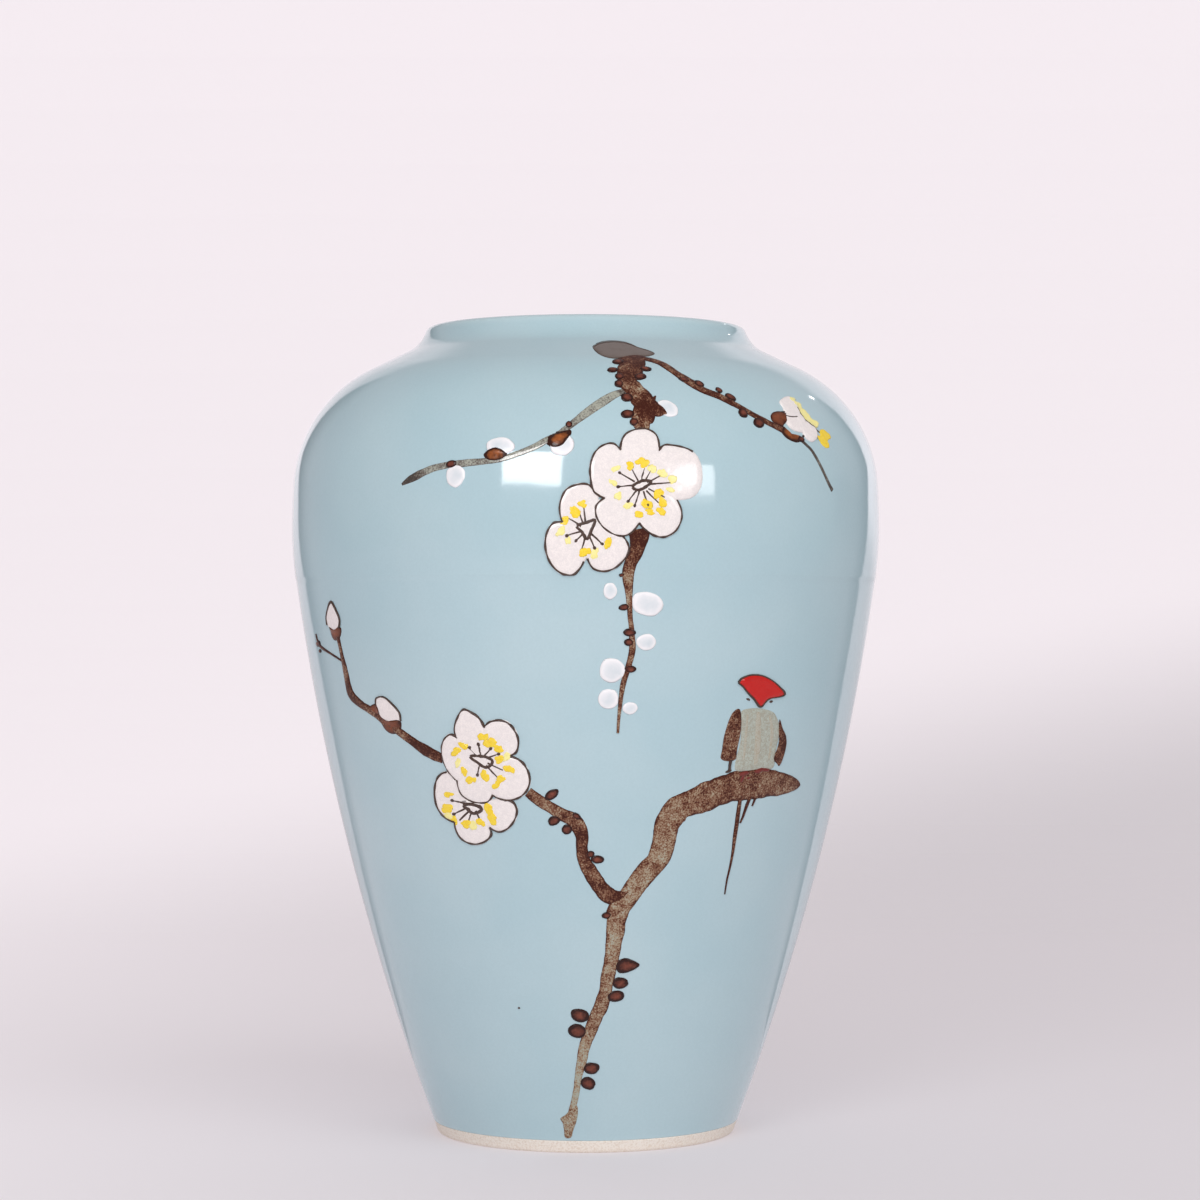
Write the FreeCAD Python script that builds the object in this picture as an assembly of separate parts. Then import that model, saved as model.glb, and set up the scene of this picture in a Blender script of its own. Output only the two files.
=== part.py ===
import FreeCAD, Part
import math
import os

Vector = FreeCAD.Vector

# Lengths are in millimetres and angles in degrees. The vase stands on z = 0 with its axis on Z,
# and its painted front faces -Y. A turn is the angle round the axis from the front, to the right.

# Outside of the vase
vase_height = 260.0
belly_radius = 95.0
belly_drop = 65.0           # how far the widest point lies below the lip
foot_radius = 48.0          # where the foot meets the table
taper_curve = 834.0         # long curve from the foot up to the belly
lower_belly_curve = 122.0
upper_belly_curve = 240.0
shoulder_curve = 44.0
shoulder_slope = 64.0       # lean from upright of the straight top of the shoulder
shoulder_top_radius = 61.5  # a point on that straight stretch
shoulder_top_drop = 10.0    # how far that point lies below the lip
neck_curve = 12.0           # hollow sweep under the lip
lip_radius = 52.2
lip_round = 2.6

# Inside of the vase
wall = 5.5
throat_round = 4.0          # where the mouth opens out under the shoulder
floor_thickness = 8.0
floor_wall = 6.5            # wall at the inside floor, which is thrown thicker
floor_round = 12.0

# Foot
bare_band = 4.0             # height of the unglazed clay above the table
foot_ring_width = 7.0
foot_chamfer = 0.6
recess_depth = 5.0
glaze_thickness = 0.8
glaze_margin = 1.5          # bare clay left round the glaze in the recess

# Painted layers, raised on the glaze
bough_relief = 0.3
mark_relief = 0.45          # knots, calyxes and the bird
enamel_relief = 0.6         # thick white petals and buds
paint_reach = 85.0          # how far round from the front the painting may go
stamp_depth = 12.0          # how far a mark's outline cuts in behind the glaze, and out past it
bough_width = 9.0
knot_length = 5.0
blossom_radius = 16.5
petal_gap = 0.5
petal_steps = 6             # straight cuts round each petal's free edge
leaf_steps = 4              # straight cuts along each side of a dab of the brush
dab_width_share = 0.8
bud_length = 8.0
calyx_length = 8.0
cut_end_length = 19.0       # sawn end of the hanging bough, seen at a slant
cut_end_height = 4.6
bird_height = 28.0

# Turn, height as a share of the vase and full width as a share of the bough, along each branch
hanging_stem_shares = [
    (11.2, 0.944, 0.95), (10.3, 0.925, 0.85), (9.8, 0.906, 0.70), (9.8, 0.890, 0.60),
    (11.3, 0.874, 0.80), (11.2, 0.851, 0.60),
]
left_twig_shares = [
    (8.5, 0.897, 0.25), (3.0, 0.882, 0.32), (-3.2, 0.853, 0.24), (-8.1, 0.835, 0.20),
    (-16.0, 0.826, 0.22), (-24.2, 0.817, 0.26), (-29.2, 0.803, 0.22), (-35.0, 0.792, 0.08),
]
right_twig_shares = [
    (14.0, 0.943, 0.22), (19.8, 0.926, 0.28), (24.8, 0.908, 0.38), (32.1, 0.880, 0.34),
    (38.0, 0.866, 0.26), (43.2, 0.852, 0.16), (48.3, 0.820, 0.10), (53.6, 0.788, 0.07),
]
lower_stem_shares = [
    (10.4, 0.738, 0.75), (9.2, 0.708, 0.50), (7.9, 0.681, 0.36), (8.5, 0.636, 0.26),
    (8.8, 0.600, 0.24), (8.3, 0.556, 0.20), (6.5, 0.506, 0.08),
]
trunk_shares = [
    (-5.8, 0.018, 0.20), (-5.9, 0.052, 0.55), (-2.5, 0.080, 0.26), (0.1, 0.129, 0.36),
    (2.0, 0.160, 0.48), (4.9, 0.196, 0.60), (6.4, 0.238, 0.66), (7.2, 0.275, 0.70),
    (7.9, 0.318, 0.82),
]
right_limb_shares = [
    (7.9, 0.312, 0.70), (13.8, 0.348, 0.78), (17.0, 0.369, 0.82), (18.4, 0.398, 0.86),
    (23.0, 0.427, 0.90), (29.8, 0.447, 0.92), (40.0, 0.456, 0.94), (49.0, 0.446, 0.80),
    (54.6, 0.437, 0.35),
]
left_limb_shares = [
    (8.2, 0.318, 0.58), (3.5, 0.340, 0.60), (1.2, 0.370, 0.52), (-0.3, 0.393, 0.46),
    (-4.2, 0.414, 0.42), (-8.3, 0.430, 0.42), (-14.0, 0.448, 0.36),
]
outer_limb_shares = [
    (-26.0, 0.471, 0.36), (-31.3, 0.479, 0.38), (-37.1, 0.499, 0.36), (-42.1, 0.516, 0.40),
    (-48.4, 0.535, 0.30), (-53.6, 0.553, 0.28), (-55.7, 0.588, 0.24), (-57.6, 0.618, 0.16),
]

# Turn, height as a share of the vase, length as a share of the mark's full size and lean
hanging_knot_shares = [
    (7.3, 0.935, 0.8, 90), (5.8, 0.925, 0.9, 90), (14.7, 0.927, 1.0, 90), (12.9, 0.914, 0.9, 80),
    (6.9, 0.907, 0.8, 90), (7.9, 0.891, 1.0, 90), (7.8, 0.872, 1.0, 90), (7.1, 0.652, 0.6, 90),
    (7.6, 0.619, 0.8, 90), (8.3, 0.610, 0.8, 90), (8.9, 0.581, 0.8, 90),
    (25.4, 0.911, 0.9, 60), (29.0, 0.903, 0.6, 10), (30.6, 0.895, 0.7, 60),
    (32.4, 0.875, 0.8, 0), (35.4, 0.865, 0.9, 20), (-22.6, 0.820, 1.0, 75), (-33.0, 0.798, 1.0, 60),
]
rising_knot_shares = [
    (12.3, 0.232, 1.5, 100), (9.9, 0.211, 1.1, 100), (8.9, 0.195, 1.1, 85),
    (-2.0, 0.171, 1.1, 110), (-2.3, 0.152, 1.2, 95), (2.8, 0.107, 1.1, 100),
    (2.2, 0.089, 1.1, 135), (-7.2, 0.442, 0.7, 40), (-7.6, 0.402, 0.7, 40),
    (-4.6, 0.391, 0.8, 30), (4.6, 0.359, 1.0, 110),
]
calyx_shares = [
    (-4.5, 0.844, 1.0, 50), (-16.4, 0.828, 0.8, 60), (14.2, 0.880, 0.9, 100),
    (41.3, 0.875, 0.6, 70), (44.2, 0.856, 0.9, 120), (-58.1, 0.622, 0.7, 10),
    (-43.3, 0.516, 0.9, 75), (-47.3, 0.529, 0.6, 60),
]
bud_shares = [
    (-24.1, 0.801, 0.85, 0), (-15.8, 0.844, 0.9, 80), (-2.6, 0.833, 1.0, 60), (17.2, 0.881, 0.9, 60),
    (-57.3, 0.642, 0.95, 10), (-44.6, 0.532, 1.1, 35), (4.7, 0.669, 0.5, 0), (12.0, 0.655, 1.0, 100),
    (11.6, 0.608, 0.6, 80), (5.6, 0.577, 1.0, 110), (4.9, 0.544, 0.85, 110), (9.6, 0.534, 0.5, 90),
    (46.4, 0.879, 0.9, 30), (48.6, 0.855, 1.0, 55),
]

cut_end_share = (10.9, 0.950)

# Turn, height as a share of the vase, size as a share of the blossom, and lean. The first of each
# pair lies over the second.
blossom_shares = [
    ((10.2, 0.790, 1.00, -8), (0.5, 0.738, 0.88, 10)),
    ((-21.5, 0.4715, 0.85, 20), (-25.3, 0.413, 0.76, 0)),
]
petal_count = 5
notch_share = 0.74          # how far out the notch between two petals lies
hub_share = 0.20            # clear circle round the heart of a blossom
heart_share = 0.16

# The bird, drawn round the point where it perches, in shares of its height: two ends of each
# rounded shape and how far its left and right sides bulge
perch_turn = 38.5
perch_height_share = 0.466
breast_shares = [((-0.02, 0.00), (0.00, 0.68), 0.26, 0.27)]
wing_shares = [
    ((-0.37, 0.02), (-0.24, 0.64), 0.09, 0.06),
    ((0.26, 0.00), (0.27, 0.52), 0.02, 0.12),
]
tail_shares = [
    ((-0.26, -0.35), (-0.44, -1.42), 0.02, 0.04),
    ((-0.09, -0.33), (-0.24, -0.64), 0.03, 0.04),
]
cap_apex_share = 0.66
cap_rim_share = 1.00
cap_lean = -8.0
cap_spread = 56.0           # half the angle of the fan of crest feathers

axis_origin = Vector(0, 0, 0)
axis_up = Vector(0, 0, 1)
full_turn = 360.0
half_turn = full_turn / 2
quarter_turn = full_turn / 4
belly_height = vase_height - belly_drop


def along(start, angle, distance):
    """Point at a distance from start, at an angle above the horizontal."""
    turn = math.radians(angle)
    return start[0] + distance * math.cos(turn), start[1] + distance * math.sin(turn)


def toward(start, end, distance):
    """Point at a distance from start on the line to end."""
    share = distance / math.dist(start, end)
    return start[0] + (end[0] - start[0]) * share, start[1] + (end[1] - start[1]) * share


def meet_circles(centre_a, radius_a, centre_b, radius_b, side):
    """Where two circles cross, on the left (1) or the right (-1) of the line from a to b."""
    gap = math.dist(centre_a, centre_b)
    reach = (radius_a**2 - radius_b**2 + gap**2) / (2 * gap)
    rise = side * math.sqrt(radius_a**2 - reach**2)
    foot = toward(centre_a, centre_b, reach)
    across = (centre_b[0] - centre_a[0]) / gap, (centre_b[1] - centre_a[1]) / gap
    return foot[0] - across[1] * rise, foot[1] + across[0] * rise


def meet_line(point, angle, centre, radius, side):
    """Where a line through a point crosses a circle, at the far (1) or the near (-1) end."""
    step = along((0, 0), angle, 1)
    offset = point[0] - centre[0], point[1] - centre[1]
    half = offset[0] * step[0] + offset[1] * step[1]
    rest = offset[0] ** 2 + offset[1] ** 2 - radius**2
    return along(point, angle, -half + side * math.sqrt(half**2 - rest))


def touch_circle(point, centre, radius, side):
    """Where the line from a point touches a circle."""
    length = math.sqrt(math.dist(point, centre) ** 2 - radius**2)
    return meet_circles(point, length, centre, radius, side)


# The arcs of the outside, from the foot to the lip: each runs smoothly into the next.
lower_belly_centre = (belly_radius - lower_belly_curve, belly_height)
upper_belly_centre = (belly_radius - upper_belly_curve, belly_height)
foot_point = (foot_radius, 0)
belly_point = (belly_radius, belly_height)
lip_centre = (lip_radius - lip_round, vase_height - lip_round)
bore_radius = lip_radius - 2 * lip_round
slope_angle = quarter_turn + shoulder_slope
slope_point = (shoulder_top_radius, vase_height - shoulder_top_drop)
inward = slope_angle + quarter_turn

taper_centre = meet_circles(
    lower_belly_centre, taper_curve - lower_belly_curve, foot_point, taper_curve, -1
)
shoulder_centre = meet_line(
    along(slope_point, inward, shoulder_curve),
    slope_angle,
    upper_belly_centre,
    upper_belly_curve - shoulder_curve,
    -1,
)
neck_line = along(slope_point, inward, -neck_curve)
neck_centre = meet_line(neck_line, slope_angle, lip_centre, neck_curve + lip_round, -1)

taper_end = toward(taper_centre, lower_belly_centre, taper_curve)
shoulder_start = toward(upper_belly_centre, shoulder_centre, upper_belly_curve)
shoulder_end = along(shoulder_centre, inward, -shoulder_curve)
neck_start = along(neck_centre, inward, neck_curve)
lip_start = toward(lip_centre, neck_centre, lip_round)

wall_arcs = [
    (taper_centre, foot_point, taper_end),
    (lower_belly_centre, taper_end, belly_point),
    (upper_belly_centre, belly_point, shoulder_start),
    (shoulder_centre, shoulder_start, shoulder_end),
]


def radius_at(height):
    """Outside radius of the vase at a height below the neck."""
    for centre, low, high in wall_arcs:
        if height <= high[1]:
            rise = height - centre[1]
            return centre[0] + math.sqrt(math.dist(centre, low) ** 2 - rise**2)
    run = (height - shoulder_end[1]) * math.tan(math.radians(shoulder_slope))
    return shoulder_end[0] - run


def spot(point):
    return Vector(point[0], 0, point[1])


def line(start, end):
    return Part.makeLine(spot(start), spot(end))


def arc(centre, start, end):
    """The shorter arc from start to end."""
    middle = (start[0] + end[0]) / 2, (start[1] + end[1]) / 2
    crown = toward(centre, middle, math.dist(centre, start))
    return Part.Arc(spot(start), spot(crown), spot(end)).toShape()


def moved(centre, point, offset):
    """A point of an arc, moved outwards from the arc's centre."""
    return toward(centre, point, math.dist(centre, point) + offset)


def moved_arc(piece, offset):
    centre, low, high = piece
    return arc(centre, moved(centre, low, offset), moved(centre, high, offset))


def face(edges):
    return Part.Face(Part.Wire(Part.__sortEdges__(edges)))


def turned(edges):
    """Solid of revolution about the vase's axis."""
    return face(edges).revolve(axis_origin, axis_up, full_turn)


recess_radius = foot_radius - foot_ring_width
floor_height = recess_depth + floor_thickness
band_point = (radius_at(bare_band), bare_band)


def outside_edges():
    """The glazed outside, from the bare band over the lip to the inside of the mouth."""
    crest = (lip_centre[0], vase_height)
    mouth_point = (bore_radius, lip_centre[1])
    edges = [arc(taper_centre, band_point, taper_end)]
    edges += [moved_arc(piece, 0) for piece in wall_arcs[1:]]
    edges += [line(shoulder_end, neck_start), arc(neck_centre, neck_start, lip_start)]
    edges.append(Part.Arc(spot(lip_start), spot(crest), spot(mouth_point)).toShape())
    return edges, mouth_point


def inside_edges(mouth_point):
    """The inside, from the mouth down to the middle of the floor."""
    shoulder_inside = shoulder_curve - wall
    throat_rise = bore_radius + throat_round - shoulder_centre[0]
    throat_lift = math.sqrt((shoulder_inside + throat_round) ** 2 - throat_rise**2)
    throat_centre = (bore_radius + throat_round, shoulder_centre[1] + throat_lift)
    throat_start = (bore_radius, throat_centre[1])
    throat_end = toward(shoulder_centre, throat_centre, shoulder_inside)
    ceiling_end = moved(upper_belly_centre, shoulder_start, -wall)
    belly_inside = (belly_radius - wall, belly_height)
    corner = (radius_at(floor_height) - floor_wall, floor_height)
    taper_inside = touch_circle(corner, lower_belly_centre, lower_belly_curve - wall, -1)
    lean = math.atan2(taper_inside[1] - corner[1], taper_inside[0] - corner[0])
    corner_run = floor_round / math.tan((math.pi - lean) / 2)
    floor_end = (corner[0] - corner_run, floor_height)
    corner_centre = (floor_end[0], floor_height + floor_round)
    return [
        line(mouth_point, throat_start),
        arc(throat_centre, throat_start, throat_end),
        arc(shoulder_centre, throat_end, ceiling_end),
        arc(upper_belly_centre, ceiling_end, belly_inside),
        arc(lower_belly_centre, belly_inside, taper_inside),
        line(taper_inside, toward(corner, taper_inside, corner_run)),
        arc(corner_centre, toward(corner, taper_inside, corner_run), floor_end),
        line(floor_end, (0, floor_height)),
    ]


def vase_wall():
    """Thrown wall, floor and neck, down to the glaze line above the foot."""
    outside, mouth_point = outside_edges()
    recess_corner = (recess_radius, recess_depth)
    seat_point = (recess_radius, bare_band)
    base = [
        line((0, floor_height), (0, recess_depth)),
        line((0, recess_depth), recess_corner),
        line(recess_corner, seat_point),
        line(seat_point, band_point),
    ]
    return turned(outside + inside_edges(mouth_point) + base)


def foot_ring():
    """Turned ring of bare clay that the vase stands on."""
    edge_point = (radius_at(foot_chamfer), foot_chamfer)
    outer_low = (foot_radius - foot_chamfer, 0)
    inner_low = (recess_radius + foot_chamfer, 0)
    inner_edge = (recess_radius, foot_chamfer)
    inner_high = (recess_radius, bare_band)
    return turned([
        arc(taper_centre, edge_point, band_point),
        line(band_point, inner_high),
        line(inner_high, inner_edge),
        line(inner_edge, inner_low),
        line(inner_low, outer_low),
        line(outer_low, edge_point),
    ])


def base_glaze():
    """Pool of glaze on the recessed base, inside the foot ring."""
    pool = Part.makeCylinder(recess_radius - glaze_margin, glaze_thickness)
    pool.translate(axis_up * (recess_depth - glaze_thickness))
    return pool


def coat(relief):
    """A layer on the outside of the vase's front, as thick as the paint, for cutting to shape."""
    low = moved(taper_centre, band_point, relief)
    slope_end = moved(shoulder_centre, shoulder_end, relief)
    slope_top = along(slope_point, inward, -relief)
    edges = [arc(taper_centre, low, moved(taper_centre, taper_end, relief))]
    edges += [moved_arc(piece, relief) for piece in wall_arcs[1:]]
    edges += [line(slope_end, slope_top), line(slope_top, slope_point)]
    edges += [line(slope_point, shoulder_end), line(band_point, low)]
    edges += [moved_arc(piece, 0) for piece in wall_arcs[1:]]
    edges.append(arc(taper_centre, band_point, taper_end))
    section = face(edges)
    section.rotate(axis_origin, axis_up, -quarter_turn - paint_reach)
    return section.revolve(axis_origin, axis_up, 2 * paint_reach)


def stamp(outline, turn, surface):
    """A flat outline, drawn as seen from its turn, pushed out through the wall's face there."""
    shape = face(outline)
    shape.translate(Vector(0, stamp_depth - surface, 0))
    shape = shape.extrude(Vector(0, surface - 2 * stamp_depth - belly_radius, 0))
    shape.rotate(axis_origin, axis_up, turn)
    return shape


def seen(turn, height, facing):
    """A place on the wall, as across and up in the flat view from a facing."""
    return radius_at(height) * math.sin(math.radians(turn - facing)), height


def stroke(rows):
    """A brushed branch: a ribbon of changing width along its rows."""
    facing = (min(row[0] for row in rows) + max(row[0] for row in rows)) / 2
    path = [seen(turn, share * vase_height, facing) for turn, share, width in rows]
    left, right = [], []
    for index, (turn, share, width) in enumerate(rows):
        before = path[max(index - 1, 0)]
        after = path[min(index + 1, len(path) - 1)]
        lean = math.degrees(math.atan2(after[1] - before[1], after[0] - before[0]))
        half = width * bough_width / 2
        left.append(along(path[index], lean + quarter_turn, half))
        right.append(along(path[index], lean - quarter_turn, half))
    surface = min(
        radius_at(share * vase_height) * math.cos(math.radians(turn - facing))
        for turn, share, width in rows
    )
    return stamp(ring(left + right[::-1]), facing, surface)


def ring(points):
    """Straight edges from each point to the next, and back to the first."""
    return [line(a, b) for a, b in zip(points, points[1:] + points[:1])]


def leaf(low, high, left_bulge, right_bulge):
    """A rounded shape between two points, that bulges by its own amount to each side."""
    lean = math.degrees(math.atan2(high[1] - low[1], high[0] - low[0]))
    length = math.dist(low, high)
    left, right = [], []
    for step in range(1, leaf_steps):
        place = toward(low, high, length * (1 - math.cos(math.pi * step / leaf_steps)) / 2)
        swell = math.sin(math.pi * step / leaf_steps)
        left.append(along(place, lean + quarter_turn, swell * left_bulge))
        right.append(along(place, lean - quarter_turn, swell * right_bulge))
    return ring([low] + left + [high] + right[::-1])


def oval(row, full_length):
    """A rounded dab of the brush."""
    turn, share, size, lean = row
    length = size * full_length
    middle = (0, share * vase_height)
    low = along(middle, lean - quarter_turn, length / 2)
    high = along(middle, lean + quarter_turn, length / 2)
    bulge = dab_width_share * length / 2
    return stamp(leaf(low, high, bulge, bulge), turn, radius_at(middle[1]))


def petal_edge(middle, aim, half, radius):
    """Points round a petal's free edge, from one notch to the next."""
    points = []
    for step in range(petal_steps + 1):
        share = 2 * step / petal_steps - 1
        reach = notch_share + (1 - notch_share) * math.sqrt(1 - share**2)
        points.append(along(middle, aim + share * half, reach * radius))
    return points


def petals(row):
    """Five rounded petals round a clear heart, a hair apart at their sides."""
    turn, share, size, lean = row
    radius = size * blossom_radius
    middle = (0, share * vase_height)
    half = full_turn / petal_count / 2
    result = []
    for index in range(petal_count):
        aim = quarter_turn + lean + 2 * half * index
        notch_half = half - math.degrees(petal_gap / 2 / (notch_share * radius))
        hub_half = half - math.degrees(petal_gap / 2 / (hub_share * radius))
        inner = [along(middle, aim + side * hub_half, hub_share * radius) for side in (1, -1)]
        outer = petal_edge(middle, aim, notch_half, radius)
        result.append(stamp(ring(outer + inner), turn, radius_at(middle[1])))
    return result


def heart(row):
    """The round heart of a blossom, inside its petals."""
    turn, share, size, lean = row
    return oval((turn, share, size, lean), 2 * heart_share * blossom_radius)


def whole_blossom(row):
    """The area a blossom covers, which hides what is painted under it."""
    turn, share, size, lean = row
    radius = size * blossom_radius
    middle = (0, share * vase_height)
    half = full_turn / petal_count / 2
    outline = []
    for index in range(petal_count):
        aim = quarter_turn + lean + 2 * half * index
        outline += petal_edge(middle, aim, half, radius)[:-1]
    return stamp(ring(outline), turn, radius_at(middle[1]))


perch_height = perch_height_share * vase_height


def bird_point(share):
    return share[0] * bird_height, perch_height + share[1] * bird_height


def bird_leaves(rows):
    result = []
    for low, high, left, right in rows:
        outline = leaf(bird_point(low), bird_point(high), left * bird_height, right * bird_height)
        result.append(stamp(outline, perch_turn, radius_at(perch_height)))
    return result


def bird_cap():
    """Fan of crest feathers, its point down on the brow."""
    apex = bird_point((0, cap_apex_share))
    rim = (cap_rim_share - cap_apex_share) * bird_height
    first = quarter_turn + cap_lean - cap_spread
    fan = [along(apex, first + 2 * cap_spread * step / petal_steps, rim)
           for step in range(petal_steps + 1)]
    return [stamp(ring([apex] + fan), perch_turn, radius_at(perch_height))]


def cut_end():
    """Slanting sawn face at the top of the hanging bough."""
    turn, share = cut_end_share
    middle = (0, share * vase_height)
    ends = [along(middle, angle, cut_end_length / 2) for angle in (half_turn, 0)]
    outline = leaf(*ends, cut_end_height / 2, cut_end_height / 2)
    return stamp(outline, turn, radius_at(middle[1]))


def painted(stamps, relief, covers):
    """The part of a paint layer under the stamps, less what is painted over it."""
    layer = coat(relief)
    marks = [layer.common(shape) for shape in stamps]
    joined = marks[0].multiFuse(marks[1:]) if len(marks) > 1 else marks[0]
    result = []
    for solid in joined.Solids:
        over = [cover for cover in covers if cover.BoundBox.intersect(solid.BoundBox)]
        result.append(solid.cut(over) if over else solid)
    return Part.makeCompound(result)


def save(name, shape):
    solids = [solid for solid in shape.Solids if solid.Volume > 0]
    Part.makeCompound(solids).exportStep(f"parts/{name}.step")
    print(name, len(solids), "solids", round(shape.Volume), "cubic mm", shape.isValid())


os.makedirs("parts", exist_ok=True)
save("vase_wall", vase_wall())
save("foot_ring", foot_ring())
save("base_glaze", base_glaze())

fronts = [front for front, back in blossom_shares]
backs = [back for front, back in blossom_shares]
front_covers = [whole_blossom(row) for row in fronts]
blossom_covers = front_covers + [whole_blossom(row) for row in backs]
front_petals = [petal for row in fronts for petal in petals(row)]
back_petals = [petal for row in backs for petal in petals(row)]
save("blossom_petals", Part.makeCompound([
    painted(front_petals, enamel_relief, []),
    painted(back_petals, enamel_relief, front_covers),
]))
save("blossom_hearts", Part.makeCompound([
    painted([heart(row) for row in fronts], mark_relief, []),
    painted([heart(row) for row in backs], mark_relief, front_covers),
]))

calyxes = [oval(row, calyx_length) for row in calyx_shares]
buds = [oval(row, bud_length) for row in bud_shares]
knots = [oval(row, knot_length) for row in hanging_knot_shares + rising_knot_shares]
save("bud_calyxes", painted(calyxes, mark_relief, blossom_covers))
save("flower_buds", painted(buds, enamel_relief, blossom_covers + calyxes))
save("bough_knots", painted(knots, mark_relief, blossom_covers + calyxes + buds))

breast = bird_leaves(breast_shares)
cap = bird_cap()
save("bird_breast", painted(breast, mark_relief, cap))
save("bird_cap", painted(cap, mark_relief, []))
save("bird_wings", painted(bird_leaves(wing_shares), mark_relief, breast + cap))
save("bird_tail", painted(bird_leaves(tail_shares), mark_relief, []))

marks = blossom_covers + calyxes + buds + knots + breast + bird_leaves(wing_shares + tail_shares)
hanging = [stroke(rows) for rows in
           (hanging_stem_shares, left_twig_shares, right_twig_shares, lower_stem_shares)]
hanging.append(cut_end())
rising = [stroke(rows) for rows in
          (trunk_shares, right_limb_shares, left_limb_shares, outer_limb_shares)]
save("hanging_bough", painted(hanging, bough_relief, marks))
save("rising_bough", painted(rising, bough_relief, marks))
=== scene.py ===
import math
import random
from functools import partial
from types import SimpleNamespace

import bpy
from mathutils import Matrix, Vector
from mathutils.bvhtree import BVHTree


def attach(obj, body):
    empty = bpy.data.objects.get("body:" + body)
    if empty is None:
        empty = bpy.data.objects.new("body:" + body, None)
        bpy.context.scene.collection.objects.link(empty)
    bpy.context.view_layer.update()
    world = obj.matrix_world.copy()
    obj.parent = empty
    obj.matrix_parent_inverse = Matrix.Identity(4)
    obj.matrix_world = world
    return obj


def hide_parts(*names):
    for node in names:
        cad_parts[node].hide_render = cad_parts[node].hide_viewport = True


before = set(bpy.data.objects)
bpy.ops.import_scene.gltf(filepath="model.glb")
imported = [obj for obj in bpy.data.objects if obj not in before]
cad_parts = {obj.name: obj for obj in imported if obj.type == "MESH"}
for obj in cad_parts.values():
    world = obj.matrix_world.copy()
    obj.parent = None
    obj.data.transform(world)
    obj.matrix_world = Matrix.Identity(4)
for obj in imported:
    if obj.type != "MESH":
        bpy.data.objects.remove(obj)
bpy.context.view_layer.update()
mm = 0.001
scene = bpy.context.scene
axis = Vector((0, 0, 1))

# The vase stands on z = 0 and its painted front faces -Y. The painting is placed by pixels of the
# 1200 pixel photograph, which the camera below sees, and each mark is laid on the glaze there.
photo = {"focal": 3200, "middleX": 600, "horizonY": 620, "size": 1200}
camera = {"place": (4.65, -1040, 165.3), "sensor": 36}


def linear(code):  # sRGB hex to linear colour
    parts = [int(code[i:i + 2], 16) / 255 for i in (1, 3, 5)]
    return [c / 12.92 if c <= 0.04045 else ((c + 0.055) / 1.055) ** 2.4 for c in parts] + [1]


def addNode(tree, kind, *values, **settings):
    # One node: its kind, with its operation or data type after a space, the values or links of its
    # inputs in their order or in a dictionary, and its settings.
    kind, _, mode = kind.partition(" ")
    families = ("GeometryNode", "ShaderNode", "FunctionNode", "")
    node = tree.nodes.new(next(f + kind for f in families if hasattr(bpy.types, f + kind)))
    if mode:
        setattr(node, "operation" if hasattr(node, "operation") else "data_type", mode)
    for name, value in settings.items():
        setattr(node, name, value)
    inputs = values[0] if values and isinstance(values[0], dict) else dict(enumerate(values))
    for key, value in inputs.items():
        if isinstance(value, bpy.types.Node):
            value = value.outputs[0]
        if isinstance(value, bpy.types.NodeSocket):
            tree.links.new(value, node.inputs[key])
        else:
            node.inputs[key].default_value = value
    return node


# Camera
cameraPlace = Vector(camera["place"]) * mm
eye = bpy.data.objects.new("camera", bpy.data.cameras.new("camera"))
eye.location = cameraPlace
eye.rotation_euler = (math.radians(90), 0, 0)
eye.data.sensor_width = camera["sensor"]
eye.data.lens = photo["focal"] / photo["size"] * camera["sensor"]
eye.data.shift_y = (photo["horizonY"] - photo["size"] / 2) / photo["size"]
scene.collection.objects.link(eye)
scene.camera = eye
scene.view_settings.view_transform = "Standard"

# Outline of the vase, in millimetres from its axis and above the table: arcs that run into each other
outline = {
    "height": 260, "bellyRadius": 95, "bellyHeight": 195, "footRadius": 48,
    "taperCurve": 834, "lowerBellyCurve": 122, "upperBellyCurve": 240, "shoulderCurve": 44,
    "shoulderSlope": 64, "slopePoint": (61.5, 250), "neckCurve": 12, "lipRadius": 52.2, "lipRound": 2.6,
    "wall": 5.5, "throatRound": 4, "floorHeight": 13, "floorWall": 6.5, "floorRound": 12,
    "bandHeight": 4, "recessRadius": 41, "recessDepth": 5, "chamfer": 0.6, "glazeRoll": 0.35,
}
basePool = {"thickness": 0.8, "radius": 39.5, "round": 0.6}


def along(start, angle, distance):
    turn = math.radians(angle)
    return start[0] + distance * math.cos(turn), start[1] + distance * math.sin(turn)


def toward(start, end, distance):
    share = distance / math.dist(start, end)
    return start[0] + (end[0] - start[0]) * share, start[1] + (end[1] - start[1]) * share


def meetCircles(centreA, radiusA, centreB, radiusB, side):
    gap = math.dist(centreA, centreB)
    reach = (radiusA**2 - radiusB**2 + gap**2) / (2 * gap)
    rise = side * math.sqrt(radiusA**2 - reach**2)
    foot = toward(centreA, centreB, reach)
    across = (centreB[0] - centreA[0]) / gap, (centreB[1] - centreA[1]) / gap
    return foot[0] - across[1] * rise, foot[1] + across[0] * rise


def meetLine(point, angle, centre, radius):
    step = along((0, 0), angle, 1)
    offset = point[0] - centre[0], point[1] - centre[1]
    half = offset[0] * step[0] + offset[1] * step[1]
    rest = offset[0] ** 2 + offset[1] ** 2 - radius**2
    return along(point, angle, -half - math.sqrt(half**2 - rest))


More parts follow.
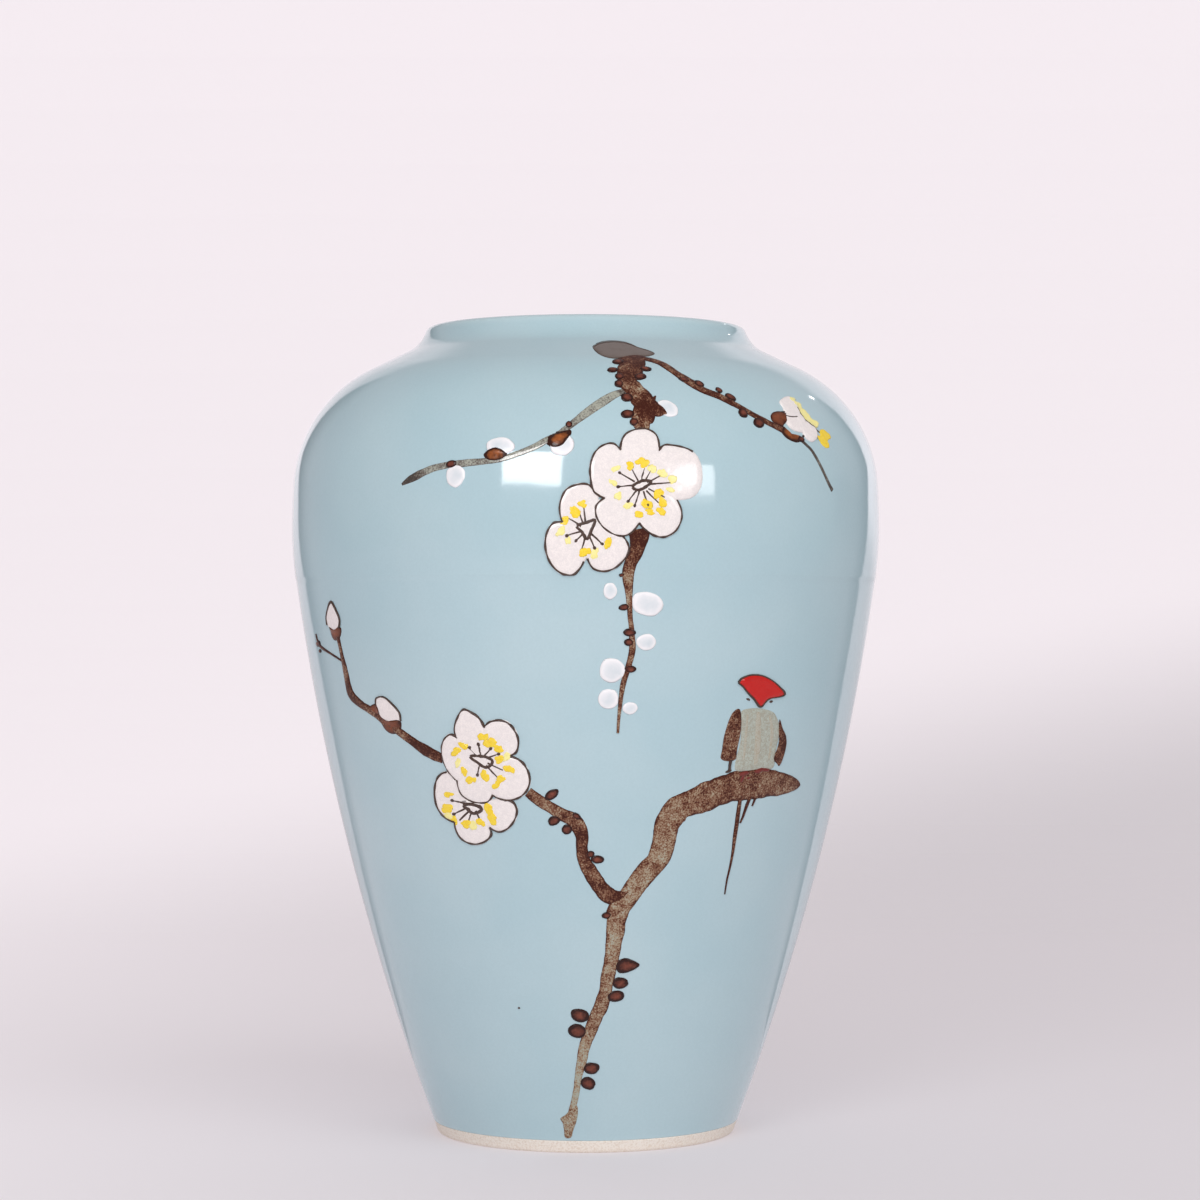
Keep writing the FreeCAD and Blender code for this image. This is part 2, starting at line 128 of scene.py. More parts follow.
def drawOutline(points, *steps):  # from each step's end to the next: its end, points, and an arc's centre
    start = points[-1]
    for end, count, *centre in steps:
        if centre:
            (x, z), radius = centre[0], math.dist(centre[0], start)
            first = math.atan2(start[1] - z, start[0] - x)
            sweep = math.atan2(end[1] - z, end[0] - x) - first
            sweep = (sweep + math.pi) % (2 * math.pi) - math.pi
            turns = [first + sweep * i / count for i in range(1, count + 1)]
            points += [(x + radius * math.cos(t), z + radius * math.sin(t)) for t in turns]
        else:
            length = math.dist(start, end)
            points += [toward(start, end, length * i / count) for i in range(1, count + 1)]
        start = end
    return points


def wallOutlines():  # the glazed wall, then the bare foot ring, then the pool of glaze in the base
    o = SimpleNamespace(**outline)
    lowerBelly = (o.bellyRadius - o.lowerBellyCurve, o.bellyHeight)
    upperBelly = (o.bellyRadius - o.upperBellyCurve, o.bellyHeight)
    lip = (o.lipRadius - o.lipRound, o.height - o.lipRound)
    bore = o.lipRadius - 2 * o.lipRound
    slope = 90 + o.shoulderSlope
    inward = slope + 90
    taper = meetCircles(lowerBelly, o.taperCurve - o.lowerBellyCurve, (o.footRadius, 0), o.taperCurve, -1)
    shoulder = meetLine(along(o.slopePoint, inward, o.shoulderCurve), slope, upperBelly,
                        o.upperBellyCurve - o.shoulderCurve)
    neck = meetLine(along(o.slopePoint, inward, -o.neckCurve), slope, lip, o.neckCurve + o.lipRound)

    def onTaper(height):
        return taper[0] + math.sqrt(o.taperCurve ** 2 - (height - taper[1]) ** 2), height

    band = onTaper(o.bandHeight)
    rollStart = (band[0] - o.glazeRoll, o.bandHeight)
    roll = (rollStart[0], o.bandHeight + o.glazeRoll)
    shoulderStart = toward(upperBelly, shoulder, o.upperBellyCurve)
    wall = drawOutline(
        [(0, o.recessDepth)],
        ((o.recessRadius, o.recessDepth), 4),
        ((o.recessRadius, o.bandHeight), 2),
        (rollStart, 4),
        (toward(roll, onTaper(roll[1]), o.glazeRoll), 4, roll),
        (toward(taper, lowerBelly, o.taperCurve), 120, taper),
        ((o.bellyRadius, o.bellyHeight), 24, lowerBelly),
        (shoulderStart, 10, upperBelly),
        (along(shoulder, inward, -o.shoulderCurve), 36, shoulder),
        (along(neck, inward, o.neckCurve), 8),
        (toward(lip, neck, o.lipRound), 12, neck),
        ((lip[0], o.height), 8, lip),
        ((bore, lip[1]), 8, lip))

    inner = o.shoulderCurve - o.wall
    rise = bore + o.throatRound - shoulder[0]
    lift = math.sqrt((inner + o.throatRound) ** 2 - rise**2)
    throat = (bore + o.throatRound, shoulder[1] + lift)
    corner = (onTaper(o.floorHeight)[0] - o.floorWall, o.floorHeight)
    reach = math.sqrt(math.dist(corner, lowerBelly) ** 2 - (o.lowerBellyCurve - o.wall) ** 2)
    touch = meetCircles(corner, reach, lowerBelly, o.lowerBellyCurve - o.wall, -1)
    lean = math.atan2(touch[1] - corner[1], touch[0] - corner[0])
    run = o.floorRound / math.tan((math.pi - lean) / 2)
    floorEnd = (corner[0] - run, o.floorHeight)
    drawOutline(
        wall,
        ((bore, throat[1]), 5),
        (toward(shoulder, throat, inner), 8, throat),
        (toward(upperBelly, shoulderStart, o.upperBellyCurve - o.wall), 20, shoulder),
        ((o.bellyRadius - o.wall, o.bellyHeight), 5, upperBelly),
        (touch, 10, lowerBelly),
        (toward(corner, touch, run), 16),
        (floorEnd, 10, (floorEnd[0], o.floorHeight + o.floorRound)),
        ((0, o.floorHeight), 6))

    # The bare clay stands back a little under the roll of glaze.
    c = o.chamfer
    back = o.glazeRoll / 2
    outer = o.footRadius - c - back
    ring = drawOutline(
        [(onTaper(c)[0] - back, c)],
        ((band[0] - back, o.bandHeight), 8),
        ((o.recessRadius, o.bandHeight), 4),
        ((o.recessRadius, c), 4),
        ((o.recessRadius + c, 0), 4, (o.recessRadius + c, c)),
        ((outer, 0), 5),
        ((outer + c, c), 4, (outer, c)))
    ring[-1] = ring[0]

    low = o.recessDepth - basePool["thickness"]
    edge = (basePool["radius"] - basePool["round"], low + basePool["round"])
    disc = drawOutline(
        [(0, low)],
        ((edge[0], low), 12),
        ((basePool["radius"], edge[1]), 6, edge),
        ((basePool["radius"], o.recessDepth), 1),
        ((0, o.recessDepth), 4))
    return wall, ring, disc


def newTree(name, inputs):  # a tree with named inputs: the function that adds its nodes, and the inputs
    tree = bpy.data.node_groups.new(name, "GeometryNodeTree")
    for kind, labels in {"Geometry": ["Geometry"], **inputs, "Material": ["material"]}.items():
        for label in labels:
            tree.interface.new_socket(label, in_out="INPUT", socket_type="NodeSocket" + kind)
    tree.interface.new_socket("Geometry", in_out="OUTPUT", socket_type="NodeSocketGeometry")
    return partial(addNode, tree), tree.nodes.new("NodeGroupInput").outputs


def closeTree(add, start, geometry):  # smooth faces, the material and the output
    smooth = add("SetShadeSmooth", add("RealizeInstances", geometry))
    painted = add("SetMaterial", {"Geometry": smooth, "Material": start["material"]})
    return add("NodeGroupOutput", painted).id_data


def wheelTree():  # turns an outline about the axis, with the faint rings that throwing leaves
    add, start = newTree("turnedOnWheel", {"Int": ["segments", "rows"],
                                           "Float": ["ringDepth", "ringSpacing", "seed"]})
    columns = add("Math ADD", start["segments"], 1)
    grid = add("MeshGrid", {"Vertices X": columns, "Vertices Y": start["rows"]})
    index = add("InputIndex")
    row = add("Math MODULO", index, start["rows"])
    column = add("Math FLOOR", add("Math DIVIDE", index, start["rows"]))
    share = add("Math DIVIDE", column, start["segments"])
    turn = add("Math MULTIPLY", share, -2 * math.pi)
    spot = add("SampleIndex FLOAT_VECTOR", {
        "Geometry": start["Geometry"], "Value": add("InputPosition"), "Index": row})
    radius, _, height = add("SeparateXYZ", spot).outputs
    rings = add("Math DIVIDE", height, start["ringSpacing"])
    shifted = add("Math ADD", rings, start["seed"])
    noise = add("TexNoise", {"W": shifted, "Scale": 1, "Detail": 2}, noise_dimensions="1D")
    depth = add("Math MULTIPLY", add("Math SUBTRACT", noise, 0.5), start["ringDepth"])
    inside = add("Math GREATER_THAN", radius, 1 * mm)
    ringed = add("Math MULTIPLY_ADD", depth, inside, radius)
    x = add("Math MULTIPLY", ringed, add("Math SINE", turn))
    y = add("Math MULTIPLY", ringed, add("Math COSINE", turn))
    shaped = add("SetPosition", {"Geometry": grid, "Position": add("CombineXYZ", x, y, height)})
    closed = add("MergeByDistance", {"Geometry": shaped, "Distance": 0.01 * mm})
    return closeTree(add, start, closed)


# Marks search for what they lie on from a little outside the wall, and their tops are rounded.
lie = {"above": 2 * mm, "dome": 0.6, "weld": 0.002 * mm, "leastTilt": 0.3}


def surfacePoint(add, start, point):  # place on what is painted so far, and the way out of the wall
    wall, ground = (add("ObjectInfo", start[label]).outputs["Geometry"] for label in ("wall", "ground"))
    place = add("InputPosition")
    sample = "SampleNearestSurface FLOAT_VECTOR"
    out = add(sample, {"Mesh": wall, "Value": add("InputNormal"), "Sample Position": point})
    flat = add(sample, {"Mesh": wall, "Value": place, "Sample Position": point})
    away = add("VectorMath ADD", flat, add("VectorMath SCALE", {0: out, 3: lie["above"]}))
    return add(sample, {"Mesh": ground, "Value": place, "Sample Position": away}), out


def lifted(add, geometry, found, out, lift):  # the geometry, this far out from the places found
    laid = add("VectorMath ADD", found, add("VectorMath SCALE", {0: out, 3: lift}))
    return add("SetPosition", {"Geometry": geometry, "Position": laid})


def domed(add, start, geometry, flat, rise):  # laid on the surface, with a round top and a sunk underside
    found, out = surfacePoint(add, start, flat)
    dome = add("Math POWER", add("Math MAXIMUM", rise, 0), lie["dome"])
    lift = add("Math MULTIPLY", dome, start["relief"])
    lift = add("Math MULTIPLY_ADD", add("Math MINIMUM", rise, 0), start["sink"], lift)
    return lifted(add, geometry, found, out, lift)


def strokeTree():  # brush strokes that follow their paths over the glaze
    add, start = newTree("brushStrokes", {
        "Object": ["wall", "ground"], "Int": ["sides"],
        "Float": ["relief", "sink", "wobble", "wobbleSize", "step", "seed", "edgeShift"]})
    smooth = add("CurveSplineType", add("MeshToCurve", start["Geometry"]), spline_type="CATMULL_ROM")
    line = add("ResampleCurve", {"Curve": smooth, "Length": start["step"]}, mode="LENGTH")
    place = add("InputPosition")
    found, out = surfacePoint(add, start, place)
    side = add("VectorMath NORMALIZE", add("VectorMath CROSS_PRODUCT", out, add("InputTangent")))
    for label, value in (("centre", place), ("side", side)):
        line = add("StoreNamedAttribute FLOAT_VECTOR", {"Geometry": line, "Name": label, "Value": value})
    ring = add("CurvePrimitiveCircle", {"Resolution": start["sides"], "Radius": 1})
    for label, value in zip(("across", "rise"), add("SeparateXYZ", place).outputs):
        ring = add("StoreNamedAttribute FLOAT", {"Geometry": ring, "Name": label, "Value": value})
    tube = add("CurveToMesh", {"Curve": line, "Profile Curve": ring, "Fill Caps": True})
    centre, side = (add("InputNamedAttribute FLOAT_VECTOR", label) for label in ("centre", "side"))
    across, rise, halfWidth = (add("InputNamedAttribute FLOAT", label)
                               for label in ("across", "rise", "halfWidth"))
    # The two edges of a stroke waver apart from each other.
    phase = add("Math MULTIPLY_ADD", add("Math SIGN", across), start["edgeShift"], start["seed"])
    scaled = add("VectorMath SCALE", {0: centre, 3: start["wobbleSize"]})
    noise = add("TexNoise", {"Vector": scaled, "W": phase, "Scale": 1, "Detail": 3}, noise_dimensions="4D")
    swell = add("Math MULTIPLY_ADD", add("Math SUBTRACT", noise, 0.5), start["wobble"], 1)
    reach = add("Math MULTIPLY", add("Math MULTIPLY", across, halfWidth), swell)
    flat = add("VectorMath ADD", centre, add("VectorMath SCALE", {0: side, 3: reach}))
    return closeTree(add, start, domed(add, start, tube, flat, rise))


def patchTree():  # flat patches of enamel laid on the glaze, closed on their underside
    add, start = newTree("enamelPatches", {
        "Object": ["wall", "ground"], "Float": ["relief", "sink", "unevenness", "brushSize", "seed"]})
    place = add("InputPosition")
    rise, layer = (add("InputNamedAttribute FLOAT", label) for label in ("rise", "layer"))
    found, out = surfacePoint(add, start, place)
    scaled = add("VectorMath SCALE", {0: place, 3: start["brushSize"]})
    noise = add("TexNoise", {"Vector": scaled, "W": start["seed"], "Scale": 1, "Detail": 2},
                noise_dimensions="4D")
    thick = add("Math MULTIPLY_ADD", add("Math SUBTRACT", noise, 0.5), start["unevenness"], start["relief"])
    thick = add("Math ADD", add("Math ADD", thick, layer), start["sink"])
    down = add("Math MULTIPLY", start["sink"], -1)
    lift = add("Math MULTIPLY_ADD", rise, thick, down)
    top, bottom = (lifted(add, start["Geometry"], found, out, height) for height in (lift, down))
    under = add("FlipFaces", bottom)
    both = add("JoinGeometry", top)
    both.id_data.links.new(under.outputs[0], both.inputs[0])
    return closeTree(add, start, add("MergeByDistance", {"Geometry": both, "Distance": lie["weld"]}))


def dabTree():  # rounded dabs of colour, one or a small cluster at each point
    add, start = newTree("brushDabs", {
        "Object": ["wall", "ground"], "Int": ["copies", "sides", "seed"],
        "Float": ["relief", "sink", "wobble", "scatter", "bend", "bendScale"]})
    spread = add("DuplicateElements", {"Geometry": start["Geometry"], "Amount": start["copies"]},
                 domain="POINT")
    longWay, wideWay = (add("InputNamedAttribute FLOAT_VECTOR", label) for label in ("longWay", "wideWay"))
    shifts = []
    for number, way in enumerate((longWay, wideWay)):
        seed = add("Math ADD", start["seed"], number)
        chance = add("RandomValue FLOAT", {2: -1, 3: 1, "Seed": seed})
        much = add("Math MULTIPLY", chance.outputs[1], start["scatter"])
        shifts.append(add("VectorMath SCALE", {0: way, 3: much}))
    spread = add("SetPosition", {"Geometry": spread, "Offset": add("VectorMath ADD", *shifts)})
    ball = add("MeshUVSphere", {"Segments": start["sides"], "Rings": 10, "Radius": 1})
    place = add("InputPosition")
    spread, ball = (
        add("StoreNamedAttribute FLOAT_VECTOR", {"Geometry": geometry, "Name": label, "Value": place})
        for geometry, label in ((spread, "centre"), (ball, "unit")))
    real = add("RealizeInstances", add("InstanceOnPoints", {"Points": spread, "Instance": ball}))
    centre, unit = (add("InputNamedAttribute FLOAT_VECTOR", label) for label in ("centre", "unit"))
    taper = add("InputNamedAttribute FLOAT", "taper")
    long, wide, rise = add("SeparateXYZ", unit).outputs
    bend = add("VectorMath ADD", add("VectorMath SCALE", {0: centre, 3: start["bend"]}), unit)
    noise = add("TexNoise", {"Vector": bend, "Scale": start["bendScale"], "Detail": 1})
    swell = add("Math MULTIPLY_ADD", add("Math SUBTRACT", noise, 0.5), start["wobble"], 1)
    reach = add("Math MULTIPLY", long, swell)
    narrow = add("Math MULTIPLY_ADD", long, taper, 1)
    across = add("Math MULTIPLY", add("Math MULTIPLY", wide, narrow), swell)
    flat = add("VectorMath ADD", centre, add("VectorMath SCALE", {0: longWay, 3: reach}))
    flat = add("VectorMath ADD", flat, add("VectorMath SCALE", {0: wideWay, 3: across}))
    real = add("StoreNamedAttribute FLOAT", {
        "Geometry": real, "Name": "rise", "Value": add("Math MAXIMUM", rise, 0)})
    return closeTree(add, start, domed(add, start, real, flat, rise))


def runTree(name, mesh, tree, values):  # runs a tree on a mesh and keeps the result as a plain mesh
    maker = bpy.data.objects.new(name + "Maker", mesh)
    scene.collection.objects.link(maker)
    modifier = maker.modifiers.new("maker", "NODES")
    modifier.node_group = tree
    for item in tree.interface.items_tree:
        if item.in_out == "INPUT" and item.name in values:
            modifier[item.identifier] = values[item.name]
    seenBy = bpy.context.evaluated_depsgraph_get()
    made = bpy.data.meshes.new_from_object(maker.evaluated_get(seenBy))
    maker.modifiers.clear()
    bpy.data.objects.remove(maker)
    piece = bpy.data.objects.new(name, made)
    scene.collection.objects.link(piece)
    print(name, len(made.polygons), "faces")
    return piece


def settle(piece, slot, *nodes):  # the piece rides with the vase and stands for these CAD nodes
    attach(piece, "root")
    if nodes:
        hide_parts(*nodes)
    return piece


def newMesh(name, verts, edges=(), faces=(), **attributes):  # a mesh with numbers or vectors at its points
    mesh = bpy.data.meshes.new(name)
    mesh.from_pydata(verts, edges, faces)
    for label, values in attributes.items():
        if isinstance(values[0], Vector):
            data = mesh.attributes.new(label, "FLOAT_VECTOR", "POINT").data
            data.foreach_set("vector", [number for value in values for number in value])
        else:
            mesh.attributes.new(label, "FLOAT", "POINT").data.foreach_set("value", values)
    return mesh


def newMaterial(name):  # a material, the function that adds its nodes, and the piece's own coordinates
    material = bpy.data.materials.new(name)
    material.use_nodes = True
    material.node_tree.nodes.clear()
    add = partial(addNode, material.node_tree)
    return material, add, add("TexCoord").outputs["Object"]


def finish(material, add, inputs, relief=None):  # the shader with these inputs and any relief, and the output
    if relief:
        height, strength, deepMm = relief
        bump = add("Bump", {"Height": height, "Strength": strength, "Distance": deepMm * mm})
        inputs = {**inputs, "Normal": bump}
    add("OutputMaterial", add("BsdfPrincipled", inputs))
    return material


# Celadon glaze over white stoneware: a thick clear blue-green glass that pools a little, fired glossy.
# It runs thin and pale over the lip.
celadon = {
    "body": "#B4CCD3", "pooled": "#ADC8D0", "thin": "#C3D6DA", "fleck": "#7C98A0", "cloudMm": 38,
    "cloudEnds": (0.35, 0.68), "fleckMm": 0.7, "fleckEnds": (0.35, 0.65), "flecked": 0.05,
    "thinFrom": 257.5, "thinTo": 260.2, "thinned": 0.75, "waves": 90, "relief": (0.12, 0.3),
    "roughness": 0.07, "ior": 1.7,
}


def celadonGlaze():
    material, add, place = newMaterial("celadonGlaze")
    cloud = add("TexNoise", {"Vector": place, "Scale": 1000 / celadon["cloudMm"], "Detail": 3,
                             "Roughness": 0.45})
    tint = add("ValToRGB", cloud)
    for stop, position, tone in zip(tint.color_ramp.elements, celadon["cloudEnds"], ("pooled", "body")):
        stop.position = position
        stop.color = linear(celadon[tone])
    fleck = add("TexNoise", {"Vector": place, "Scale": 1000 / celadon["fleckMm"], "Detail": 1})
    some = add("MapRange", fleck, *celadon["fleckEnds"], 0.0, celadon["flecked"])
    flecked = add("Mix RGBA", {"Factor": some, 6: tint, 7: linear(celadon["fleck"])})
    height = add("SeparateXYZ", place).outputs[2]
    lip = add("MapRange", height, celadon["thinFrom"] * mm, celadon["thinTo"] * mm, 0.0, celadon["thinned"])
    edged = add("Mix RGBA", {"Factor": lip, 6: flecked.outputs[2], 7: linear(celadon["thin"])})
    wave = add("TexNoise", {"Vector": place, "Scale": celadon["waves"], "Detail": 2})
    return finish(material, add, {
        "Base Color": edged.outputs[2], "Roughness": celadon["roughness"], "IOR": celadon["ior"],
    }, (wave, *celadon["relief"]))


# Bare stoneware clay, turned and left unglazed: dry, cream with iron specks
clay = {"body": "#EDE5DB", "dark": "#DFD1C2", "speckMm": 0.6, "speckEnds": (0.32, 0.55),
        "relief": (0.12, 0.1), "roughness": 0.85}


def bareClay():
    material, add, place = newMaterial("bareStonewareClay")
    speck = add("TexNoise", {"Vector": place, "Scale": 1000 / clay["speckMm"], "Detail": 3})
    tint = add("ValToRGB", speck)
    for stop, position, tone in zip(tint.color_ramp.elements, clay["speckEnds"], ("dark", "body")):
        stop.position = position
        stop.color = linear(clay[tone])
    shown = {"Base Color": tint, "Roughness": clay["roughness"]}
    return finish(material, add, shown, (speck, *clay["relief"]))


# The wall, the foot ring and the pool of glaze, with the depth and spacing of their throwing rings
wheel = {
    "Wall": {"segments": 240, "ringDepth": 0.05 * mm, "ringSpacing": 5 * mm, "seed": 3.0},
    "Foot": {"segments": 240, "ringDepth": 0.04 * mm, "ringSpacing": 1.2 * mm, "seed": 8.0},
    "Pool": {"segments": 160, "ringDepth": 0.08 * mm, "ringSpacing": 14 * mm, "seed": 5.0},
}
print("making the wall")
turning = wheelTree()
glaze = celadonGlaze()
turned = []
for (label, look), points, material in zip(wheel.items(), wallOutlines(), (glaze, bareClay(), glaze)):
    line = newMesh(label, [(r * mm, 0, z * mm) for r, z in points],
                   [(i, i + 1) for i in range(len(points) - 1)])
    turned.append(runTree("turned" + label, line, turning, dict(look, rows=len(points), material=material)))
wall = settle(turned[0], "celadon_glaze", "vase_wall")
settle(turned[1], "bare_clay", "foot_ring")
settle(turned[2], "celadon_glaze", "base_glaze")
glazeFaces = BVHTree.FromPolygons([v.co for v in wall.data.vertices],
                                  [p.vertices[:] for p in wall.data.polygons])


def seen(x, y):  # where a pixel of the photograph falls on the wall, with its distance and normal
    ray = Vector((x - photo["middleX"], photo["focal"], photo["horizonY"] - y)).normalized()
    hit, normal, index, far = glazeFaces.ray_cast(cameraPlace, ray)
    if hit is None:
        raise ValueError(f"pixel {x}, {y} misses the vase")
    outward = Vector((hit.x, hit.y, 0)).normalized()
    return hit, hit.y - cameraPlace.y, normal if normal.dot(outward) > 0 else -normal


def scaleAt(depth):  # metres on the wall to a pixel, where it faces the camera
    return depth / photo["focal"]


def flatAxes(normal):  # level and upward directions in the wall's face
    right = axis.cross(normal).normalized()
    return right, normal.cross(right).normalized()


def seenAxes(normal):  # the same, as long as they must be to look one unit long from the camera
    right, up = flatAxes(normal)
    return right / max(right.x, lie["leastTilt"]), up / max(up.z, lie["leastTilt"])


def strokeMesh(name, rows):  # a list to a stroke: x, y, full width in pixels and, where it isn't full, load
    verts, edges, widths, loads = [], [], [], []
    for path in rows:
        for index, (x, y, width, *load) in enumerate(path):
            hit, depth, normal = seen(x, y)
            right, up = seenAxes(normal)
            before, after = path[max(index - 1, 0)], path[min(index + 1, len(path) - 1)]
            way = Vector((after[0] - before[0], before[1] - after[1])).normalized()
            if index:
                edges.append((len(verts) - 1, len(verts)))
            verts.append(hit)
            widths.append((up * way.x - right * way.y).length * width / 2 * scaleAt(depth))
            loads.append(load[0] if load else 1)
    return newMesh(name, verts, edges, halfWidth=widths, load=loads)


def dabMesh(name, rows):  # rows of x, y, length and width in pixels, lean of the length and any taper
    verts, longWays, wideWays, tapers = [], [], [], []
    for x, y, length, width, lean, *taper in rows:
        hit, depth, normal = seen(x, y)
        right, up = seenAxes(normal)
        turn = math.radians(lean)
        way = right * math.cos(turn) + up * math.sin(turn)
        over = up * math.cos(turn) - right * math.sin(turn)
        verts.append(hit)
        longWays.append(way * (length / 2 * scaleAt(depth)))
        wideWays.append(over * (width / 2 * scaleAt(depth)))
        tapers.append(taper[0] if taper else 0)
    return newMesh(name, verts, longWay=longWays, wideWay=wideWays, taper=tapers)


def smoothLine(points, count, closed=False):  # a smooth line or loop through given points
    ends = [points[-1], *points, *points[:2]] if closed else [points[0], *points, points[-1]]
    result = []
    for spots in zip(ends, ends[1:], ends[2:], ends[3:]):
        for step in range(count):
            t = step / count
            result.append(tuple(
                0.5 * (2 * b + (c - a) * t + (2 * a - 5 * b + 4 * c - d) * t**2
                       + (3 * b - a - 3 * c + d) * t**3)
                for a, b, c, d in zip(*spots)))
    return result if closed else result + [points[-1]]


def smoothed(rows, count=4):  # patches with this many points for each one of their loops
    return [(middle, smoothLine(loop, count, closed=True), *rest) for middle, loop, *rest in rows]


def patchMesh(name, rows, rings=9, edge=0.22):  # a middle, a loop of pixels and any layer and load
    verts, faces, rises, layers, loads = [], [], [], [], []
    for middle, loop, *rest in rows:
        layer, load = (*rest, 0, 0)[:2]
        hit, depth, normal = seen(*middle)
        right, up = flatAxes(normal)
        first = len(verts)
        verts.append(hit)
        rises.append(1)
        rim = []
        for x, y in loop:
            spot = seen(x, y)[0] - hit
            rim.append(right * spot.dot(right) + up * spot.dot(up))
        for ring in range(1, rings + 1):
            share = math.sin(math.pi / 2 * ring / rings)
            inset = min(1, (1 - share) / edge)
            for spot in rim:
                verts.append(hit + spot * share)
                rises.append(math.sqrt(1 - (1 - inset) ** 2))
        count = len(loop)
        for i in range(count):
            j = (i + 1) % count
            faces.append((first, first + 1 + i, first + 1 + j))
            for ring in range(rings - 1):
                low = first + 1 + ring * count
                faces.append((low + i, low + count + i, low + count + j, low + j))
        layers += [layer] * (len(verts) - first)
        loads += [load] * (len(verts) - first)
    mesh = newMesh(name, verts, faces=faces, rise=rises, layer=layers, load=loads)
    if sum(p.normal.dot(Vector((p.center.x, p.center.y, 0))) for p in mesh.polygons) < 0:
        mesh.flip_normals()
    return mesh


# Iron-brown slip, brushed on and fired under a thin glaze: it breaks into grains of brown and tan
slip = {
    "dark": "#3F180C", "brown": "#774D39", "tan": "#9F8B72", "pale": "#A3A496", "grainMm": 0.5,
    "blotchMm": 3, "grained": (1.8, -0.8), "loaded": (-0.75, 0.94), "edge": (0.7, 1.0, 0.0, -0.28),
    "ends": (0.75, 1.6), "stops": (0.1, 0.42, 0.74, 1.0), "relief": (0.35, 0.08), "roughness": 0.34,
    "ior": 1.32,
}


def brushedSlip(name, dark, brown, tan, coat=0.0):
    material, add, place = newMaterial(name)
    load, across = (add("Attribute", attribute_name=label).outputs["Fac"] for label in ("load", "across"))
    grain = add("TexNoise", {"Vector": place, "Scale": 1000 / slip["grainMm"], "Detail": 3,
                             "Roughness": 0.6})
    blotch = add("TexNoise", {"Vector": place, "Scale": 1000 / slip["blotchMm"], "Detail": 2})
    level = add("Math ADD", add("Math MULTIPLY_ADD", grain, *slip["grained"]), blotch)
    level = add("Math ADD", level, add("Math MULTIPLY_ADD", load, *slip["loaded"]))
    # Slip gathers along the edges of a stroke.
    rim = add("MapRange", add("Math ABSOLUTE", across), *slip["edge"])
    spread = add("MapRange", add("Math ADD", level, rim), *slip["ends"], 0.0, 1.0)
    tint = add("ValToRGB", spread)
    ramp = tint.color_ramp.elements
    ramp[0].position, ramp[1].position = slip["stops"][0], slip["stops"][-1]
    for position in slip["stops"][1:-1]:
        ramp.new(position)
    for stop, tone in zip(ramp, (dark, brown, tan, slip["pale"])):
        stop.color = linear(tone)
    return finish(material, add, {
        "Base Color": tint, "Roughness": slip["roughness"], "IOR": slip["ior"], "Coat Weight": coat,
        "Coat Roughness": celadon["roughness"], "Coat IOR": celadon["ior"],
    }, (grain, *slip["relief"]))


# Opaque overglaze enamels, laid on thick and fired: glossy, with soft brush marks
enamel = {"brushMm": 1.4, "grainMm": 0.4, "ends": (0.75, 1.15), "reliefMm": 0.12}


def overglazeEnamel(name, body, shade, roughness=0.2, amount=0.5, relief=0.25):
    material, add, place = newMaterial(name)
    brush = add("TexNoise", {"Vector": place, "Scale": 1000 / enamel["brushMm"], "Detail": 3,
                             "Roughness": 0.6})
    grain = add("TexNoise", {"Vector": place, "Scale": 1000 / enamel["grainMm"], "Detail": 1})
    mixed = add("Math ADD", brush, grain)
    spread = add("MapRange", mixed, *enamel["ends"], 0.0, amount)
    tint = add("Mix RGBA", {"Factor": spread, 6: linear(body), 7: linear(shade)})
    shown = {"Base Color": tint.outputs[2], "Roughness": roughness}
    return finish(material, add, shown, (mixed, relief, enamel["reliefMm"]))


# Iron slip or thin enamel that has drawn away from its middle in the fire: a rim round another tone
drawn = {"grained": (0.5, -0.25), "roughness": 0.24, "ior": 1.38, "relief": (0.2, 0.08)}


def rimmedSlip(name, rim, middle, grainMm, start, end):
    material, add, place = newMaterial(name)
    rise = add("Attribute", attribute_name="rise").outputs["Fac"]
    grain = add("TexNoise", {"Vector": place, "Scale": 1000 / grainMm, "Detail": 2})
    level = add("Math ADD", rise, add("Math MULTIPLY_ADD", grain, *drawn["grained"]))
    spread = add("MapRange", level, start, end, 0.0, 1.0)
    tint = add("Mix RGBA", {"Factor": spread, 6: linear(rim), 7: linear(middle)})
    shown = {"Base Color": tint.outputs[2], "Roughness": drawn["roughness"], "IOR": drawn["ior"]}
    return finish(material, add, shown, (grain, *drawn["relief"]))


boughSlip = brushedSlip("ironSlip", slip["dark"], slip["brown"], slip["tan"])
twigSlip = brushedSlip("glazedGreySlip", "#35271F", "#62564C", "#84837A", coat=1.0)
knotSlip = rimmedSlip("ironRedSlip", "#2C0F09", "#7C4232", 1.0, 0.7, 1.08)
calyxSlip = rimmedSlip("amberSlip", "#33150B", "#B5642E", 1.5, 0.74, 1.2)
umberSlip = rimmedSlip("umberSlip", "#3A180D", "#8A4A2C", 1.2, 0.5, 1.2)
cutSlip = rimmedSlip("greySlip", "#35261F", "#71655F", 2.5, 0.1, 1.0)
whiteEnamel = overglazeEnamel("whiteEnamel", "#F2EAE7", "#DFD8D7", roughness=0.08, amount=0.6, relief=0.1)
thinEnamel = rimmedSlip("thinWhiteEnamel", "#F0EEF0", "#D0D8DD", 2.5, 0.55, 1.1)
lineSlip = overglazeEnamel("ironLineSlip", "#38241C", "#5C453A", roughness=0.35)
yellowEnamel = overglazeEnamel("yellowEnamel", "#F2CC22", "#F6E05A")
paleEnamel = overglazeEnamel("paleYellowEnamel", "#F4E88A", "#F6F0B8")
redEnamel = overglazeEnamel("ironRedEnamel", "#BE0C06", "#C91E12", roughness=0.14, amount=0.4, relief=0.1)
clawSlip = overglazeEnamel("ironClawSlip", "#661A14", "#7C3226", roughness=0.3)
